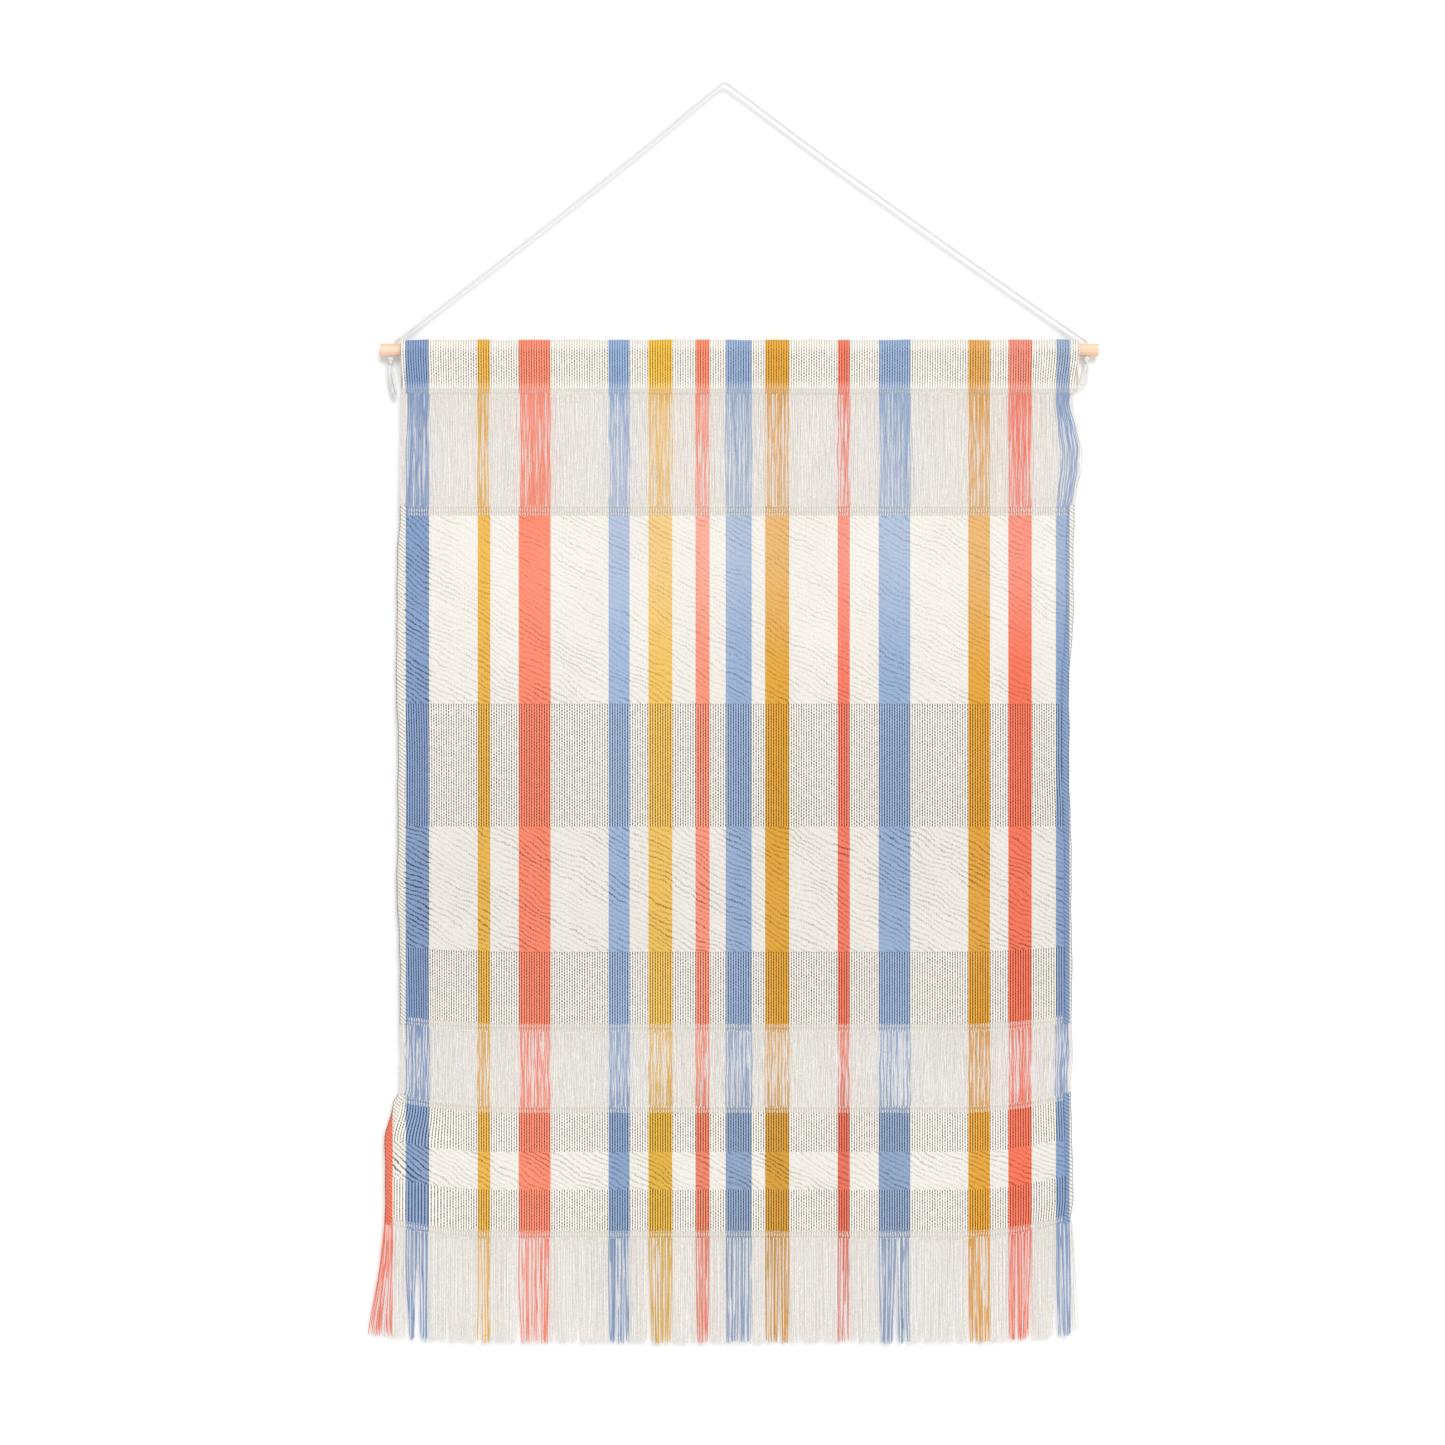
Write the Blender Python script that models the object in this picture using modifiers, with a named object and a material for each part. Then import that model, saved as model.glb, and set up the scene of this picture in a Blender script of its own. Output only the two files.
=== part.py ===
"""Tapestry wall hanging: a woven cotton panel on a wooden dowel, hung from a cord.

Frame: +Z up, +X to the right of a person who faces the front, -Y towards that person.
The origin is where the cord rests on its nail, at the inside of the cord's bend.
"""

import math

import bmesh
import bpy
import numpy as np
from mathutils import Vector

MM = 0.001

# Hanging cord
CORD_DIAMETER = 4.0 * MM
CORD_DROP = 304.0 * MM  # nail down to where the cord bends over the dowel
CORD_LEFT = 389.0 * MM  # nail to the left hole, across
CORD_RIGHT = 428.0 * MM  # nail to the right hole, across
CORD_SAG = 3.0 * MM  # how far each leg hangs below a straight line
CORD_POINTS = 77

# Dowel
DOWEL_DIAMETER = 15.0 * MM
DOWEL_LEFT_OVERHANG = 18.0 * MM  # past the left hole
DOWEL_RIGHT_OVERHANG = 14.5 * MM  # past the right hole
DOWEL_EASING = 1.2 * MM
HOLE_CLEARANCE = 0.4 * MM  # cord to the wall of its hole
BEND_HEIGHT = 2.8 * MM  # the cord's bend above the top of the dowel
LEFT_HOLE_LEAN = 15.0  # degrees, the left hole's lower end lies further out

# Knots and cord ends under the dowel
KNOT_DIAMETER = 8.5 * MM
KNOT_HEIGHT = 7.0 * MM
FRAYED_TAIL_LENGTH = 38.0 * MM
FRAYED_TAIL_WIDTH = 9.0 * MM
FRAYED_TAIL_DEPTH = 5.0 * MM
FRAYED_TAIL_LEAN = 7.0 * MM  # its lower end hangs towards the cloth
LOOP_LENGTH = 26.0 * MM
LOOP_WIDTH = 10.0 * MM
LOOP_LEAN = 3.5 * MM
TAIL_GAP = 1.8 * MM  # from a knot to the end that swings below it

# Woven panel: thicknesses
RIB_THICKNESS = 2.4 * MM
TWILL_THICKNESS = 2.0 * MM
ROW_THICKNESS = 2.2 * MM
WARP_THICKNESS = 1.2 * MM
FRINGE_THICKNESS = 1.6 * MM
SELVEDGE_THICKNESS = 3.0 * MM
SELVEDGE_WIDTH = 9.0 * MM

# Woven panel: heights, from the dowel's axis down
POCKET_DROP = 45.5 * MM
SEAM_HEIGHT = 6.0 * MM
UPPER_WARP_HEIGHT = 132.5 * MM
HEADER_HEIGHT = 12.0 * MM
UPPER_TWILL_HEIGHT = 222.5 * MM
UPPER_RIB_HEIGHT = 145.5 * MM
MIDDLE_TWILL_HEIGHT = 148.0 * MM
MIDDLE_RIB_HEIGHT = 85.0 * MM
LOCK_HEIGHT = 10.5 * MM
LOWER_WARP_HEIGHT = 86.5 * MM
LOWER_HEADER_HEIGHT = 8.5 * MM
LOWER_RIB_HEIGHT = 46.0 * MM
LOWER_TWILL_HEIGHT = 45.0 * MM
HEM_RIB_HEIGHT = 48.5 * MM
HEM_HEIGHT = 9.5 * MM
FRINGE_LENGTH = 126.5 * MM

# Woven panel: edges, measured across from the nail
POCKET_LEFT = -382.8 * MM
POCKET_RIGHT = 417.2 * MM
POCKET_CLEARANCE = 0.6 * MM  # dowel to the inside of the pocket
MIDDLE_LEFT = -388.0 * MM
MIDDLE_RIGHT = 409.0 * MM
WARP_LEFT = -382.0 * MM
WARP_RIGHT = 411.0 * MM
HEM_LEFT = -402.0 * MM
HEM_RIGHT = 411.0 * MM
FRINGE_FLARE = 18.0 * MM  # the left corner of the fringe spreads this far

# How far the lower corners ride up, and how wide the raised stretch is
LEFT_LIFT = 17.0 * MM
RIGHT_LIFT = 20.0 * MM
LIFT_REACH = 135.0 * MM
LIFT_START = 80.0 * MM  # above the middle twill band, where the rows begin to rise

# How finely the sheets follow their outline
COLUMNS = 36
ROW_SPACING = 24.0 * MM

# Gaps
GAP = 0.4 * MM  # between neighbours that touch
FOLD_GAP = 2.4 * MM  # across a fold line
FRINGE_GAP = 1.8 * MM  # between the hem and the fringe
TUFT_GAP = 0.8 * MM  # between two groups of fringe
WARP_GAP = 0.8 * MM  # between open warp and the row that holds it
FRINGE_STEP = 1.7 * MM  # between the fringe's three lengths

# Dyed stripes, from the left: colour and width. The first one starts at STRIPE_START.
STRIPE_START = -402.3 * MM
STRIPES = (
    ("coral", 9.5 * MM),
    ("cream", 16.5 * MM),
    ("blue", 27.0 * MM),
    ("cream", 58.0 * MM),
    ("yellow", 14.5 * MM),
    ("cream", 33.0 * MM),
    ("coral", 39.0 * MM),
    ("cream", 68.0 * MM),
    ("blue", 25.5 * MM),
    ("cream", 22.0 * MM),
    ("yellow", 28.5 * MM),
    ("cream", 27.0 * MM),
    ("coral", 18.0 * MM),
    ("cream", 18.5 * MM),
    ("blue", 30.0 * MM),
    ("cream", 16.0 * MM),
    ("yellow", 28.5 * MM),
    ("cream", 58.0 * MM),
    ("coral", 14.5 * MM),
    ("cream", 32.5 * MM),
    ("blue", 38.0 * MM),
    ("cream", 68.5 * MM),
    ("yellow", 26.0 * MM),
    ("cream", 21.5 * MM),
    ("coral", 28.5 * MM),
    ("cream", 27.0 * MM),
    ("blue", 16.5 * MM),
    ("cream", 9.0 * MM),
)

# Places worked out from the sizes
DOWEL_RADIUS = DOWEL_DIAMETER / 2
CORD_RADIUS = CORD_DIAMETER / 2
AXIS_Z = -(CORD_DROP + BEND_HEIGHT + DOWEL_RADIUS)
SEAM_DEPTH = POCKET_DROP
UPPER_WARP_DEPTH = SEAM_DEPTH + SEAM_HEIGHT
HEADER_DEPTH = UPPER_WARP_DEPTH + UPPER_WARP_HEIGHT
UPPER_TWILL_DEPTH = HEADER_DEPTH + HEADER_HEIGHT
UPPER_RIB_DEPTH = UPPER_TWILL_DEPTH + UPPER_TWILL_HEIGHT
MIDDLE_TWILL_DEPTH = UPPER_RIB_DEPTH + UPPER_RIB_HEIGHT
MIDDLE_RIB_DEPTH = MIDDLE_TWILL_DEPTH + MIDDLE_TWILL_HEIGHT
LOCK_DEPTH = MIDDLE_RIB_DEPTH + MIDDLE_RIB_HEIGHT
LOWER_WARP_DEPTH = LOCK_DEPTH + LOCK_HEIGHT
LOWER_HEADER_DEPTH = LOWER_WARP_DEPTH + LOWER_WARP_HEIGHT
LOWER_RIB_DEPTH = LOWER_HEADER_DEPTH + LOWER_HEADER_HEIGHT
LOWER_TWILL_DEPTH = LOWER_RIB_DEPTH + LOWER_RIB_HEIGHT
HEM_RIB_DEPTH = LOWER_TWILL_DEPTH + LOWER_TWILL_HEIGHT
HEM_DEPTH = HEM_RIB_DEPTH + HEM_RIB_HEIGHT
FRINGE_DEPTH = HEM_DEPTH + HEM_HEIGHT
END_DEPTH = FRINGE_DEPTH + FRINGE_LENGTH
UPPER_FOLD_DEPTH = UPPER_WARP_DEPTH + UPPER_WARP_HEIGHT / 2
LOWER_FOLD_DEPTH = LOWER_WARP_DEPTH + LOWER_WARP_HEIGHT / 2
CLOTH_Y = -RIB_THICKNESS / 2  # the panel hangs under the dowel's axis, in front of the pocket's flap

COLOURS = {
    "wood": (0.86, 0.66, 0.47),
    "cord": (0.93, 0.93, 0.92),
    "cream": (0.87, 0.84, 0.78),
    "warp": (0.88, 0.86, 0.82),
    "thread": (0.84, 0.82, 0.76),
    "blue": (0.30, 0.44, 0.70),
    "yellow": (0.80, 0.50, 0.09),
    "coral": (0.83, 0.23, 0.13),
}
ROUGHNESS = {"wood": 0.55, "thread": 0.8}
CLOTH_ROUGHNESS = 0.9


def material(slot):
    """One Principled material for each slot, made the first time it is asked for."""
    name = slot + "_material"
    found = bpy.data.materials.get(name)
    if found:
        return found
    made = bpy.data.materials.new(name)
    made.use_nodes = True
    shader = made.node_tree.nodes["Principled BSDF"]
    shader.inputs["Base Color"].default_value = (*COLOURS[slot], 1.0)
    shader.inputs["Roughness"].default_value = ROUGHNESS.get(slot, CLOTH_ROUGHNESS)
    shader.inputs["Metallic"].default_value = 0.0
    return made


def place(obj, slot, group):
    """Gives an object its material and files it in a collection."""
    obj.data.materials.append(material(slot))
    for other in list(obj.users_collection):
        other.objects.unlink(obj)
    group.objects.link(obj)
    return obj


def shade_smooth(obj, angle=40):
    obj.data.shade_smooth()
    obj.data.set_sharp_from_angle(angle=math.radians(angle))


def turned(name, profile, steps, slot, group):
    """A turned solid about local Z. The profile runs top to bottom, from the axis and back to it."""
    mesh = bpy.data.meshes.new(name)
    mesh.from_pydata([(r, 0.0, z) for r, z in profile], [(i, i + 1) for i in range(len(profile) - 1)], [])
    obj = bpy.data.objects.new(name, mesh)
    screw = obj.modifiers.new("turn", "SCREW")
    screw.axis = "Z"
    screw.steps = steps
    screw.render_steps = steps
    screw.use_merge_vertices = True
    screw.merge_threshold = 0.00001
    return place(obj, slot, group)


def smooth_route(points, count):
    """Points along a smooth curve through a cord's own chosen points, evenly spaced between them."""
    knots = [Vector(p) for p in points]
    knots = [knots[0] * 2 - knots[1], *knots, knots[-1] * 2 - knots[-2]]
    fine, marks = [], []
    for a, b, c, d in zip(knots, knots[1:], knots[2:], knots[3:]):
        marks.append(len(fine))
        at_b = math.sqrt((b - a).length)
        at_c = at_b + math.sqrt((c - b).length)
        at_d = at_c + math.sqrt((d - c).length)
        for t in np.linspace(at_b, at_c, 60, endpoint=False):
            ab = a + (b - a) * (t / at_b)
            bc = b + (c - b) * ((t - at_b) / (at_c - at_b))
            cd = c + (d - c) * ((t - at_c) / (at_d - at_c))
            abc = ab + (bc - ab) * (t / at_c)
            bcd = bc + (cd - bc) * ((t - at_b) / (at_d - at_b))
            fine.append(abc + (bcd - abc) * ((t - at_b) / (at_c - at_b)))
    marks.append(len(fine))
    fine.append(knots[-2])
    along = np.concatenate([[0.0], np.cumsum([(q - p).length for p, q in zip(fine, fine[1:])])])
    chosen = along[marks]
    spots = np.linspace(0.0, along[-1], count)
    free = np.abs(spots[:, None] - chosen[None, :]).min(1) > along[-1] / count / 3
    spots = np.sort(np.concatenate([spots[free], chosen]))
    return np.stack([np.interp(spots, along, [p[i] for p in fine]) for i in range(3)], 1)


def tube(name, points, radius, slot, group, sides=2, closed=False):
    """A round cord along points, as a bevelled curve."""
    curve = bpy.data.curves.new(name, "CURVE")
    curve.dimensions = "3D"
    curve.bevel_depth = radius
    curve.bevel_resolution = sides
    curve.use_fill_caps = not closed
    line = curve.splines.new("POLY")
    line.points.add(len(points) - 1)
    for spot, p in zip(line.points, points):
        spot.co = (*p, 1.0)
    line.use_cyclic_u = closed
    line.use_smooth = True
    obj = bpy.data.objects.new(name, curve)
    return place(obj, slot, group)


# Outline of the hanging panel


def eased(t):
    t = min(max(t, 0.0), 1.0)
    return t * t * (3 - 2 * t)


def along_edge(stations, depth):
    """Reads an edge that eases from one (depth, across) station to the next."""
    for (d0, x0), (d1, x1) in zip(stations, stations[1:]):
        if depth <= d1:
            return x0 + (x1 - x0) * eased((depth - d0) / (d1 - d0))
    return stations[-1][1]


LEFT_STATIONS = (
    (SEAM_DEPTH, POCKET_LEFT),
    (UPPER_WARP_DEPTH, WARP_LEFT),
    (HEADER_DEPTH, WARP_LEFT),
    (UPPER_TWILL_DEPTH + 20 * MM, MIDDLE_LEFT),
    (MIDDLE_RIB_DEPTH, MIDDLE_LEFT + 2 * MM),
    (LOWER_WARP_DEPTH, WARP_LEFT),
    (LOWER_HEADER_DEPTH, WARP_LEFT - 10 * MM),
    (LOWER_TWILL_DEPTH, HEM_LEFT),
    (FRINGE_DEPTH, HEM_LEFT),
    (END_DEPTH, HEM_LEFT - FRINGE_FLARE),
)
RIGHT_STATIONS = (
    (SEAM_DEPTH, MIDDLE_RIGHT),
    (UPPER_WARP_DEPTH, WARP_RIGHT),
    (UPPER_FOLD_DEPTH, WARP_RIGHT + 6 * MM),
    (HEADER_DEPTH, WARP_RIGHT + 2 * MM),
    (UPPER_RIB_DEPTH, MIDDLE_RIGHT - 3 * MM),
    (MIDDLE_RIB_DEPTH, MIDDLE_RIGHT),
    (LOWER_WARP_DEPTH, MIDDLE_RIGHT - 1 * MM),
    (LOWER_RIB_DEPTH, HEM_RIGHT - 1 * MM),
    (FRINGE_DEPTH, HEM_RIGHT),
    (END_DEPTH, HEM_RIGHT + 6 * MM),
)


def left_edge(depth):
    return along_edge(LEFT_STATIONS, depth)


def right_edge(depth):
    return along_edge(RIGHT_STATIONS, depth)


def lifted(depth, x):
    """How deep a woven row hangs at x, given its depth in the middle of the panel."""
    share = eased((depth - MIDDLE_TWILL_DEPTH + LIFT_START) / (FRINGE_DEPTH - MIDDLE_TWILL_DEPTH + LIFT_START))
    from_left = min(max(0.0, 1 - (x - left_edge(depth)) / LIFT_REACH), 1.0)
    from_right = min(max(0.0, 1 - (right_edge(depth) - x) / LIFT_REACH), 1.0)
    return depth - share * (LEFT_LIFT * from_left**2 + RIGHT_LIFT * from_right**2)


def rows_between(top, bottom, gap=GAP):
    """The depths of a sheet's rows of points, clear of its neighbours by half a gap each."""
    count = 2 + round((bottom - top) / ROW_SPACING)
    return [float(d) for d in np.linspace(top + gap / 2, bottom - gap / 2, count)]


def sheet(name, left, right, rows, columns, thickness, slot, group, y=CLOTH_Y, line=lifted):
    """A panel of cloth. left and right give its edges at a row's depth; line, how deep that row hangs at x."""
    bpy.ops.mesh.primitive_grid_add(x_subdivisions=columns, y_subdivisions=len(rows) - 1, size=2)
    obj = bpy.context.object
    obj.name = obj.data.name = name
    for vertex in obj.data.vertices:
        u, v = (vertex.co.x + 1) / 2, (1 - vertex.co.y) / 2
        depth = rows[round(v * (len(rows) - 1))]
        across = left(depth) + (right(depth) - left(depth)) * u
        vertex.co = (across, 0.0, -line(depth, across))
    obj.location = (0.0, y, AXIS_Z)
    solid = obj.modifiers.new("thickness", "SOLIDIFY")
    solid.thickness = thickness
    solid.offset = 0.0
    return place(obj, slot, group)


def make_cord(group):
    """The cord from the left hole over the nail to the right hole, sagging a little under its own weight."""
    bend = AXIS_Z + DOWEL_RADIUS + BEND_HEIGHT
    over_nail = CORD_RADIUS
    shoulder = 7 * MM
    fall_left = (over_nail - bend) / CORD_LEFT
    fall_right = (over_nail - bend) / CORD_RIGHT
    route = [(-CORD_LEFT, 0.0, bend)]
    for share in (0.25, 0.5, 0.75):
        sag = CORD_SAG * math.sin(math.pi * share)
        route.append((-CORD_LEFT * (1 - share), 0.0, bend + (over_nail - bend) * share - sag))
    route.append((-shoulder, 0.0, over_nail - shoulder * fall_left * 0.8))
    route.append((0.0, 0.0, over_nail))
    route.append((shoulder, 0.0, over_nail - shoulder * fall_right * 0.8))
    for share in (0.25, 0.5, 0.75):
        sag = CORD_SAG * math.sin(math.pi * share)
        route.append((CORD_RIGHT * share, 0.0, over_nail + (bend - over_nail) * share - sag))
    route.append((CORD_RIGHT, 0.0, bend))
    return tube("hanging_cord", smooth_route(route, CORD_POINTS), CORD_RADIUS, "cord", group)


def hole_lean(side):
    return math.radians(LEFT_HOLE_LEAN) if side == "left" else 0.0


def hole_centre(side, below=0.0):
    """The point on a cord hole's line at a depth below the dowel's axis."""
    fall = BEND_HEIGHT + DOWEL_RADIUS + below
    if side == "left":
        return (-CORD_LEFT - fall * math.tan(hole_lean(side)), 0.0, AXIS_Z - below)
    return (CORD_RIGHT, 0.0, AXIS_Z - below)


def knot_clearance(side):
    """A knot on a leaning cord sits this much lower, so that its shoulder clears the dowel."""
    return KNOT_DIAMETER / 2 * math.sin(hole_lean(side))


def tail_top(side):
    """Where the loose end below a knot begins."""
    return hole_centre(side, DOWEL_RADIUS + GAP + KNOT_HEIGHT + TAIL_GAP + knot_clearance(side))


def make_dowel(group, cutters):
    """The round rod with eased ends and a hole through it near each end for the cord."""
    length = CORD_LEFT + CORD_RIGHT + DOWEL_LEFT_OVERHANG + DOWEL_RIGHT_OVERHANG
    half = length / 2
    inner = DOWEL_RADIUS - DOWEL_EASING
    profile = [
        (0.0, half),
        (inner, half),
        (inner + DOWEL_EASING * 0.7, half - DOWEL_EASING * 0.3),
        (DOWEL_RADIUS, half - DOWEL_EASING),
        (DOWEL_RADIUS, -half + DOWEL_EASING),
        (inner + DOWEL_EASING * 0.7, -half + DOWEL_EASING * 0.3),
        (inner, -half),
        (0.0, -half),
    ]
    dowel = turned("dowel", profile, 40, "wood", group)
    centre = (CORD_RIGHT + DOWEL_RIGHT_OVERHANG - CORD_LEFT - DOWEL_LEFT_OVERHANG) / 2
    dowel.rotation_euler = (0.0, math.radians(90), 0.0)
    dowel.location = (centre, 0.0, AXIS_Z)
    for side in ("left", "right"):
        bpy.ops.mesh.primitive_cylinder_add(
            vertices=20,
            radius=CORD_RADIUS + HOLE_CLEARANCE,
            depth=DOWEL_DIAMETER * 1.6,
            location=hole_centre(side),
            rotation=(0.0, hole_lean(side), 0.0),
        )
        drill = bpy.context.object
        drill.name = side + "_drill"
        for other in list(drill.users_collection):
            other.objects.unlink(drill)
        cutters.objects.link(drill)
        drill.hide_render = True
        drill.display_type = "WIRE"
        cut = dowel.modifiers.new(side + "_hole", "BOOLEAN")
        cut.operation = "DIFFERENCE"
        cut.object = drill
    return dowel


def make_knot(side, group):
    """The cord's end: it runs down through the dowel and swells into the stopper knot underneath."""
    top = DOWEL_RADIUS + BEND_HEIGHT - CORD_RADIUS - GAP
    under = -(DOWEL_RADIUS + GAP) / math.cos(hole_lean(side)) - knot_clearance(side)
    belly = KNOT_DIAMETER / 2
    profile = [(0.0, top), (CORD_RADIUS * 0.8, top), (CORD_RADIUS, top - CORD_RADIUS * 0.3)]
    profile.append((CORD_RADIUS, under))
    for step in range(1, 8):
        turn = math.pi * step / 8
        bulge = CORD_RADIUS * (1 - step / 8) + (belly - CORD_RADIUS / 2) * math.sin(turn)
        profile.append((bulge, under - KNOT_HEIGHT * (1 - math.cos(turn)) / 2))
    profile.append((0.0, under - KNOT_HEIGHT))
    knot = turned(side + "_knot", profile, 20, "cord", group)
    knot.rotation_euler = (0.0, hole_lean(side), 0.0)
    knot.location = hole_centre(side)
    return knot


def make_frayed_tail(group):
    """The unlaid end of the cord under the left knot: a flattened brush that leans towards the cloth."""
    stations = ((0.0, 0.55), (0.12, 0.8), (0.5, 1.0), (0.85, 0.9), (1.0, 0.6))
    sides = 14
    mesh = bpy.data.meshes.new("left_tail")
    shape = bmesh.new()
    rings = []
    for share, width in stations:
        ring = []
        for k in range(sides):
            turn = 2 * math.pi * k / sides
            x = FRAYED_TAIL_WIDTH / 2 * width * math.cos(turn) + FRAYED_TAIL_LEAN * share
            y = FRAYED_TAIL_DEPTH / 2 * width * math.sin(turn)
            ring.append(shape.verts.new((x, y, -FRAYED_TAIL_LENGTH * share)))
        rings.append(ring)
    for upper, lower in zip(rings, rings[1:]):
        for k in range(sides):
            shape.faces.new((upper[k], lower[k], lower[k - sides + 1], upper[k - sides + 1]))
    shape.faces.new(rings[0])
    shape.faces.new(rings[-1][::-1])
    bmesh.ops.recalc_face_normals(shape, faces=shape.faces)
    shape.to_mesh(mesh)
    shape.free()
    tail = bpy.data.objects.new("left_tail", mesh)
    tail.location = tail_top("left")
    return place(tail, "cord", group)


def make_loop_tail(group):
    """The cord's other end, doubled back into a small hanging loop under the right knot."""
    radius = CORD_RADIUS * 0.75
    upper, lower = radius * 1.4, LOOP_WIDTH / 2 - radius  # radii of the turns at its two ends
    run = LOOP_LENGTH - 2 * radius - upper - lower
    tilt = math.asin((lower - upper) / run)
    steps = 9
    points = []
    for k in range(steps):
        turn = tilt + (math.pi - 2 * tilt) * k / (steps - 1)
        points.append((upper * math.cos(turn), upper * math.sin(turn)))
    for k in range(2 * steps - 1):
        turn = math.pi - tilt + (math.pi + 2 * tilt) * k / (2 * steps - 2)
        points.append((lower * math.cos(turn), lower * math.sin(turn) - run))
    top = radius + upper
    leaning = [(x + LOOP_LEAN * (z - upper) / run, 0.0, z - top) for x, z in points]
    tail = tube("right_tail", leaning, radius, "cord", group, sides=2, closed=True)
    tail.location = tail_top("right")
    return tail


def teardrop(radius, half_width, drop, count):
    """Half-closed loop over the dowel: an arc whose tangents run down to two points at the seam."""
    reach = math.hypot(half_width, drop)
    touch = math.atan2(-drop, half_width) + math.acos(radius / reach)
    arc = [touch + (math.pi - 2 * touch) * k / (count - 1) for k in range(count)]
    return [(half_width, -drop), *[(radius * math.cos(a), radius * math.sin(a)) for a in arc], (-half_width, -drop)]


def make_pocket(group):
    """The rod pocket: the panel's top end turned over the dowel and brought back to the seam."""
    outer = teardrop(DOWEL_RADIUS + POCKET_CLEARANCE + RIB_THICKNESS, RIB_THICKNESS, SEAM_DEPTH, 21)
    inner = teardrop(DOWEL_RADIUS + POCKET_CLEARANCE, 0.2 * MM, SEAM_DEPTH - 3 * MM, 17)
    curve = bpy.data.curves.new("rod_pocket", "CURVE")
    curve.dimensions = "2D"
    curve.fill_mode = "BOTH"
    curve.extrude = (POCKET_RIGHT - POCKET_LEFT) / 2
    for outline in (outer, inner):
        line = curve.splines.new("POLY")
        line.points.add(len(outline) - 1)
        for spot, (across, up) in zip(line.points, outline):
            spot.co = (across, up, 0.0, 1.0)
        line.use_cyclic_u = True
    pocket = bpy.data.objects.new("rod_pocket", curve)
    pocket.rotation_euler = (math.radians(90), 0.0, math.radians(90))
    pocket.location = ((POCKET_LEFT + POCKET_RIGHT) / 2, 0.0, AXIS_Z)
    return place(pocket, "cream", group)


def straightening(start, stop):
    """Rows that follow the raised corners at start and have levelled out by stop, such as a fold line."""

    def line(depth, x):
        rise = start - lifted(start, x)
        return depth - rise * (1 - min(max((depth - start) / (stop - start), 0.0), 1.0))

    return line


def make_warp(group):
    """The two stretches of open warp, each in two halves that meet at a fold line."""
    fold = (FOLD_GAP - WARP_GAP) / 2
    halves = (
        ("upper_warp_top", UPPER_WARP_DEPTH, UPPER_FOLD_DEPTH - fold, lambda d, x: d),
        ("upper_warp_bottom", UPPER_FOLD_DEPTH + fold, HEADER_DEPTH, lambda d, x: d),
        (
            "lower_warp_top",
            LOWER_WARP_DEPTH,
            LOWER_FOLD_DEPTH - fold,
            straightening(LOWER_WARP_DEPTH, LOWER_FOLD_DEPTH - fold),
        ),
        (
            "lower_warp_bottom",
            LOWER_FOLD_DEPTH + fold,
            LOWER_HEADER_DEPTH,
            straightening(LOWER_HEADER_DEPTH, LOWER_FOLD_DEPTH + fold),
        ),
    )
    for name, top, bottom, line in halves:
        rows = rows_between(top, bottom, WARP_GAP)
        sheet(name, left_edge, right_edge, rows, COLUMNS, WARP_THICKNESS, "warp", group, line=line)


MIDDLE_BLOCK = (
    ("upper_header_row", HEADER_DEPTH, UPPER_TWILL_DEPTH, ROW_THICKNESS),
    ("upper_twill_band", UPPER_TWILL_DEPTH, UPPER_RIB_DEPTH, TWILL_THICKNESS),
    ("upper_rib_band", UPPER_RIB_DEPTH, MIDDLE_TWILL_DEPTH, RIB_THICKNESS),
    ("middle_twill_band", MIDDLE_TWILL_DEPTH, MIDDLE_RIB_DEPTH, TWILL_THICKNESS),
    ("middle_rib_band", MIDDLE_RIB_DEPTH, LOCK_DEPTH, RIB_THICKNESS),
    ("middle_lock_row", LOCK_DEPTH, LOWER_WARP_DEPTH, ROW_THICKNESS),
)
BOTTOM_BLOCK = (
    ("lower_header_row", LOWER_HEADER_DEPTH, LOWER_RIB_DEPTH, ROW_THICKNESS),
    ("lower_rib_band", LOWER_RIB_DEPTH, LOWER_TWILL_DEPTH, RIB_THICKNESS),
    ("lower_twill_band", LOWER_TWILL_DEPTH, HEM_RIB_DEPTH, TWILL_THICKNESS),
    ("hem_rib_band", HEM_RIB_DEPTH, HEM_DEPTH, RIB_THICKNESS),
    ("hem_lock_row", HEM_DEPTH, FRINGE_DEPTH, ROW_THICKNESS),
)


def make_block(block, bands, group):
    """One woven block: its bands and border rows, between the overcast edges that bind both sides."""
    inset = SELVEDGE_WIDTH + GAP
    edge_rows = []
    for name, top, bottom, thickness in bands:
        rows = rows_between(top, bottom)
        edge_rows += rows
        sheet(
            name,
            lambda d: left_edge(d) + inset,
            lambda d: right_edge(d) - inset,
            rows,
            COLUMNS,
            thickness,
            "cream",
            group,
        )
    edges = (
        ("left_selvedge_" + block, left_edge, lambda d: left_edge(d) + SELVEDGE_WIDTH),
        ("right_selvedge_" + block, lambda d: right_edge(d) - SELVEDGE_WIDTH, right_edge),
    )
    for name, left, right in edges:
        sheet(name, left, right, edge_rows, 2, SELVEDGE_THICKNESS, "thread", group)


def make_seam(group):
    """Where the turned-over top is sewn down: two layers under one row of stitches."""
    sheet(
        "pocket_seam",
        lambda d: POCKET_LEFT,
        lambda d: right_edge(UPPER_WARP_DEPTH),
        rows_between(SEAM_DEPTH, UPPER_WARP_DEPTH, WARP_GAP),
        2,
        RIB_THICKNESS * 2,
        "thread",
        group,
        y=0.0,
        line=lambda d, x: d,
    )


def fringe_line(depth, x):
    """The hem's raised corners lift the fringe too, half as much at its ends."""
    rise = FRINGE_DEPTH - lifted(FRINGE_DEPTH, x)
    return depth - rise * (1 - (depth - FRINGE_DEPTH) / FRINGE_LENGTH / 2)


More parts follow.
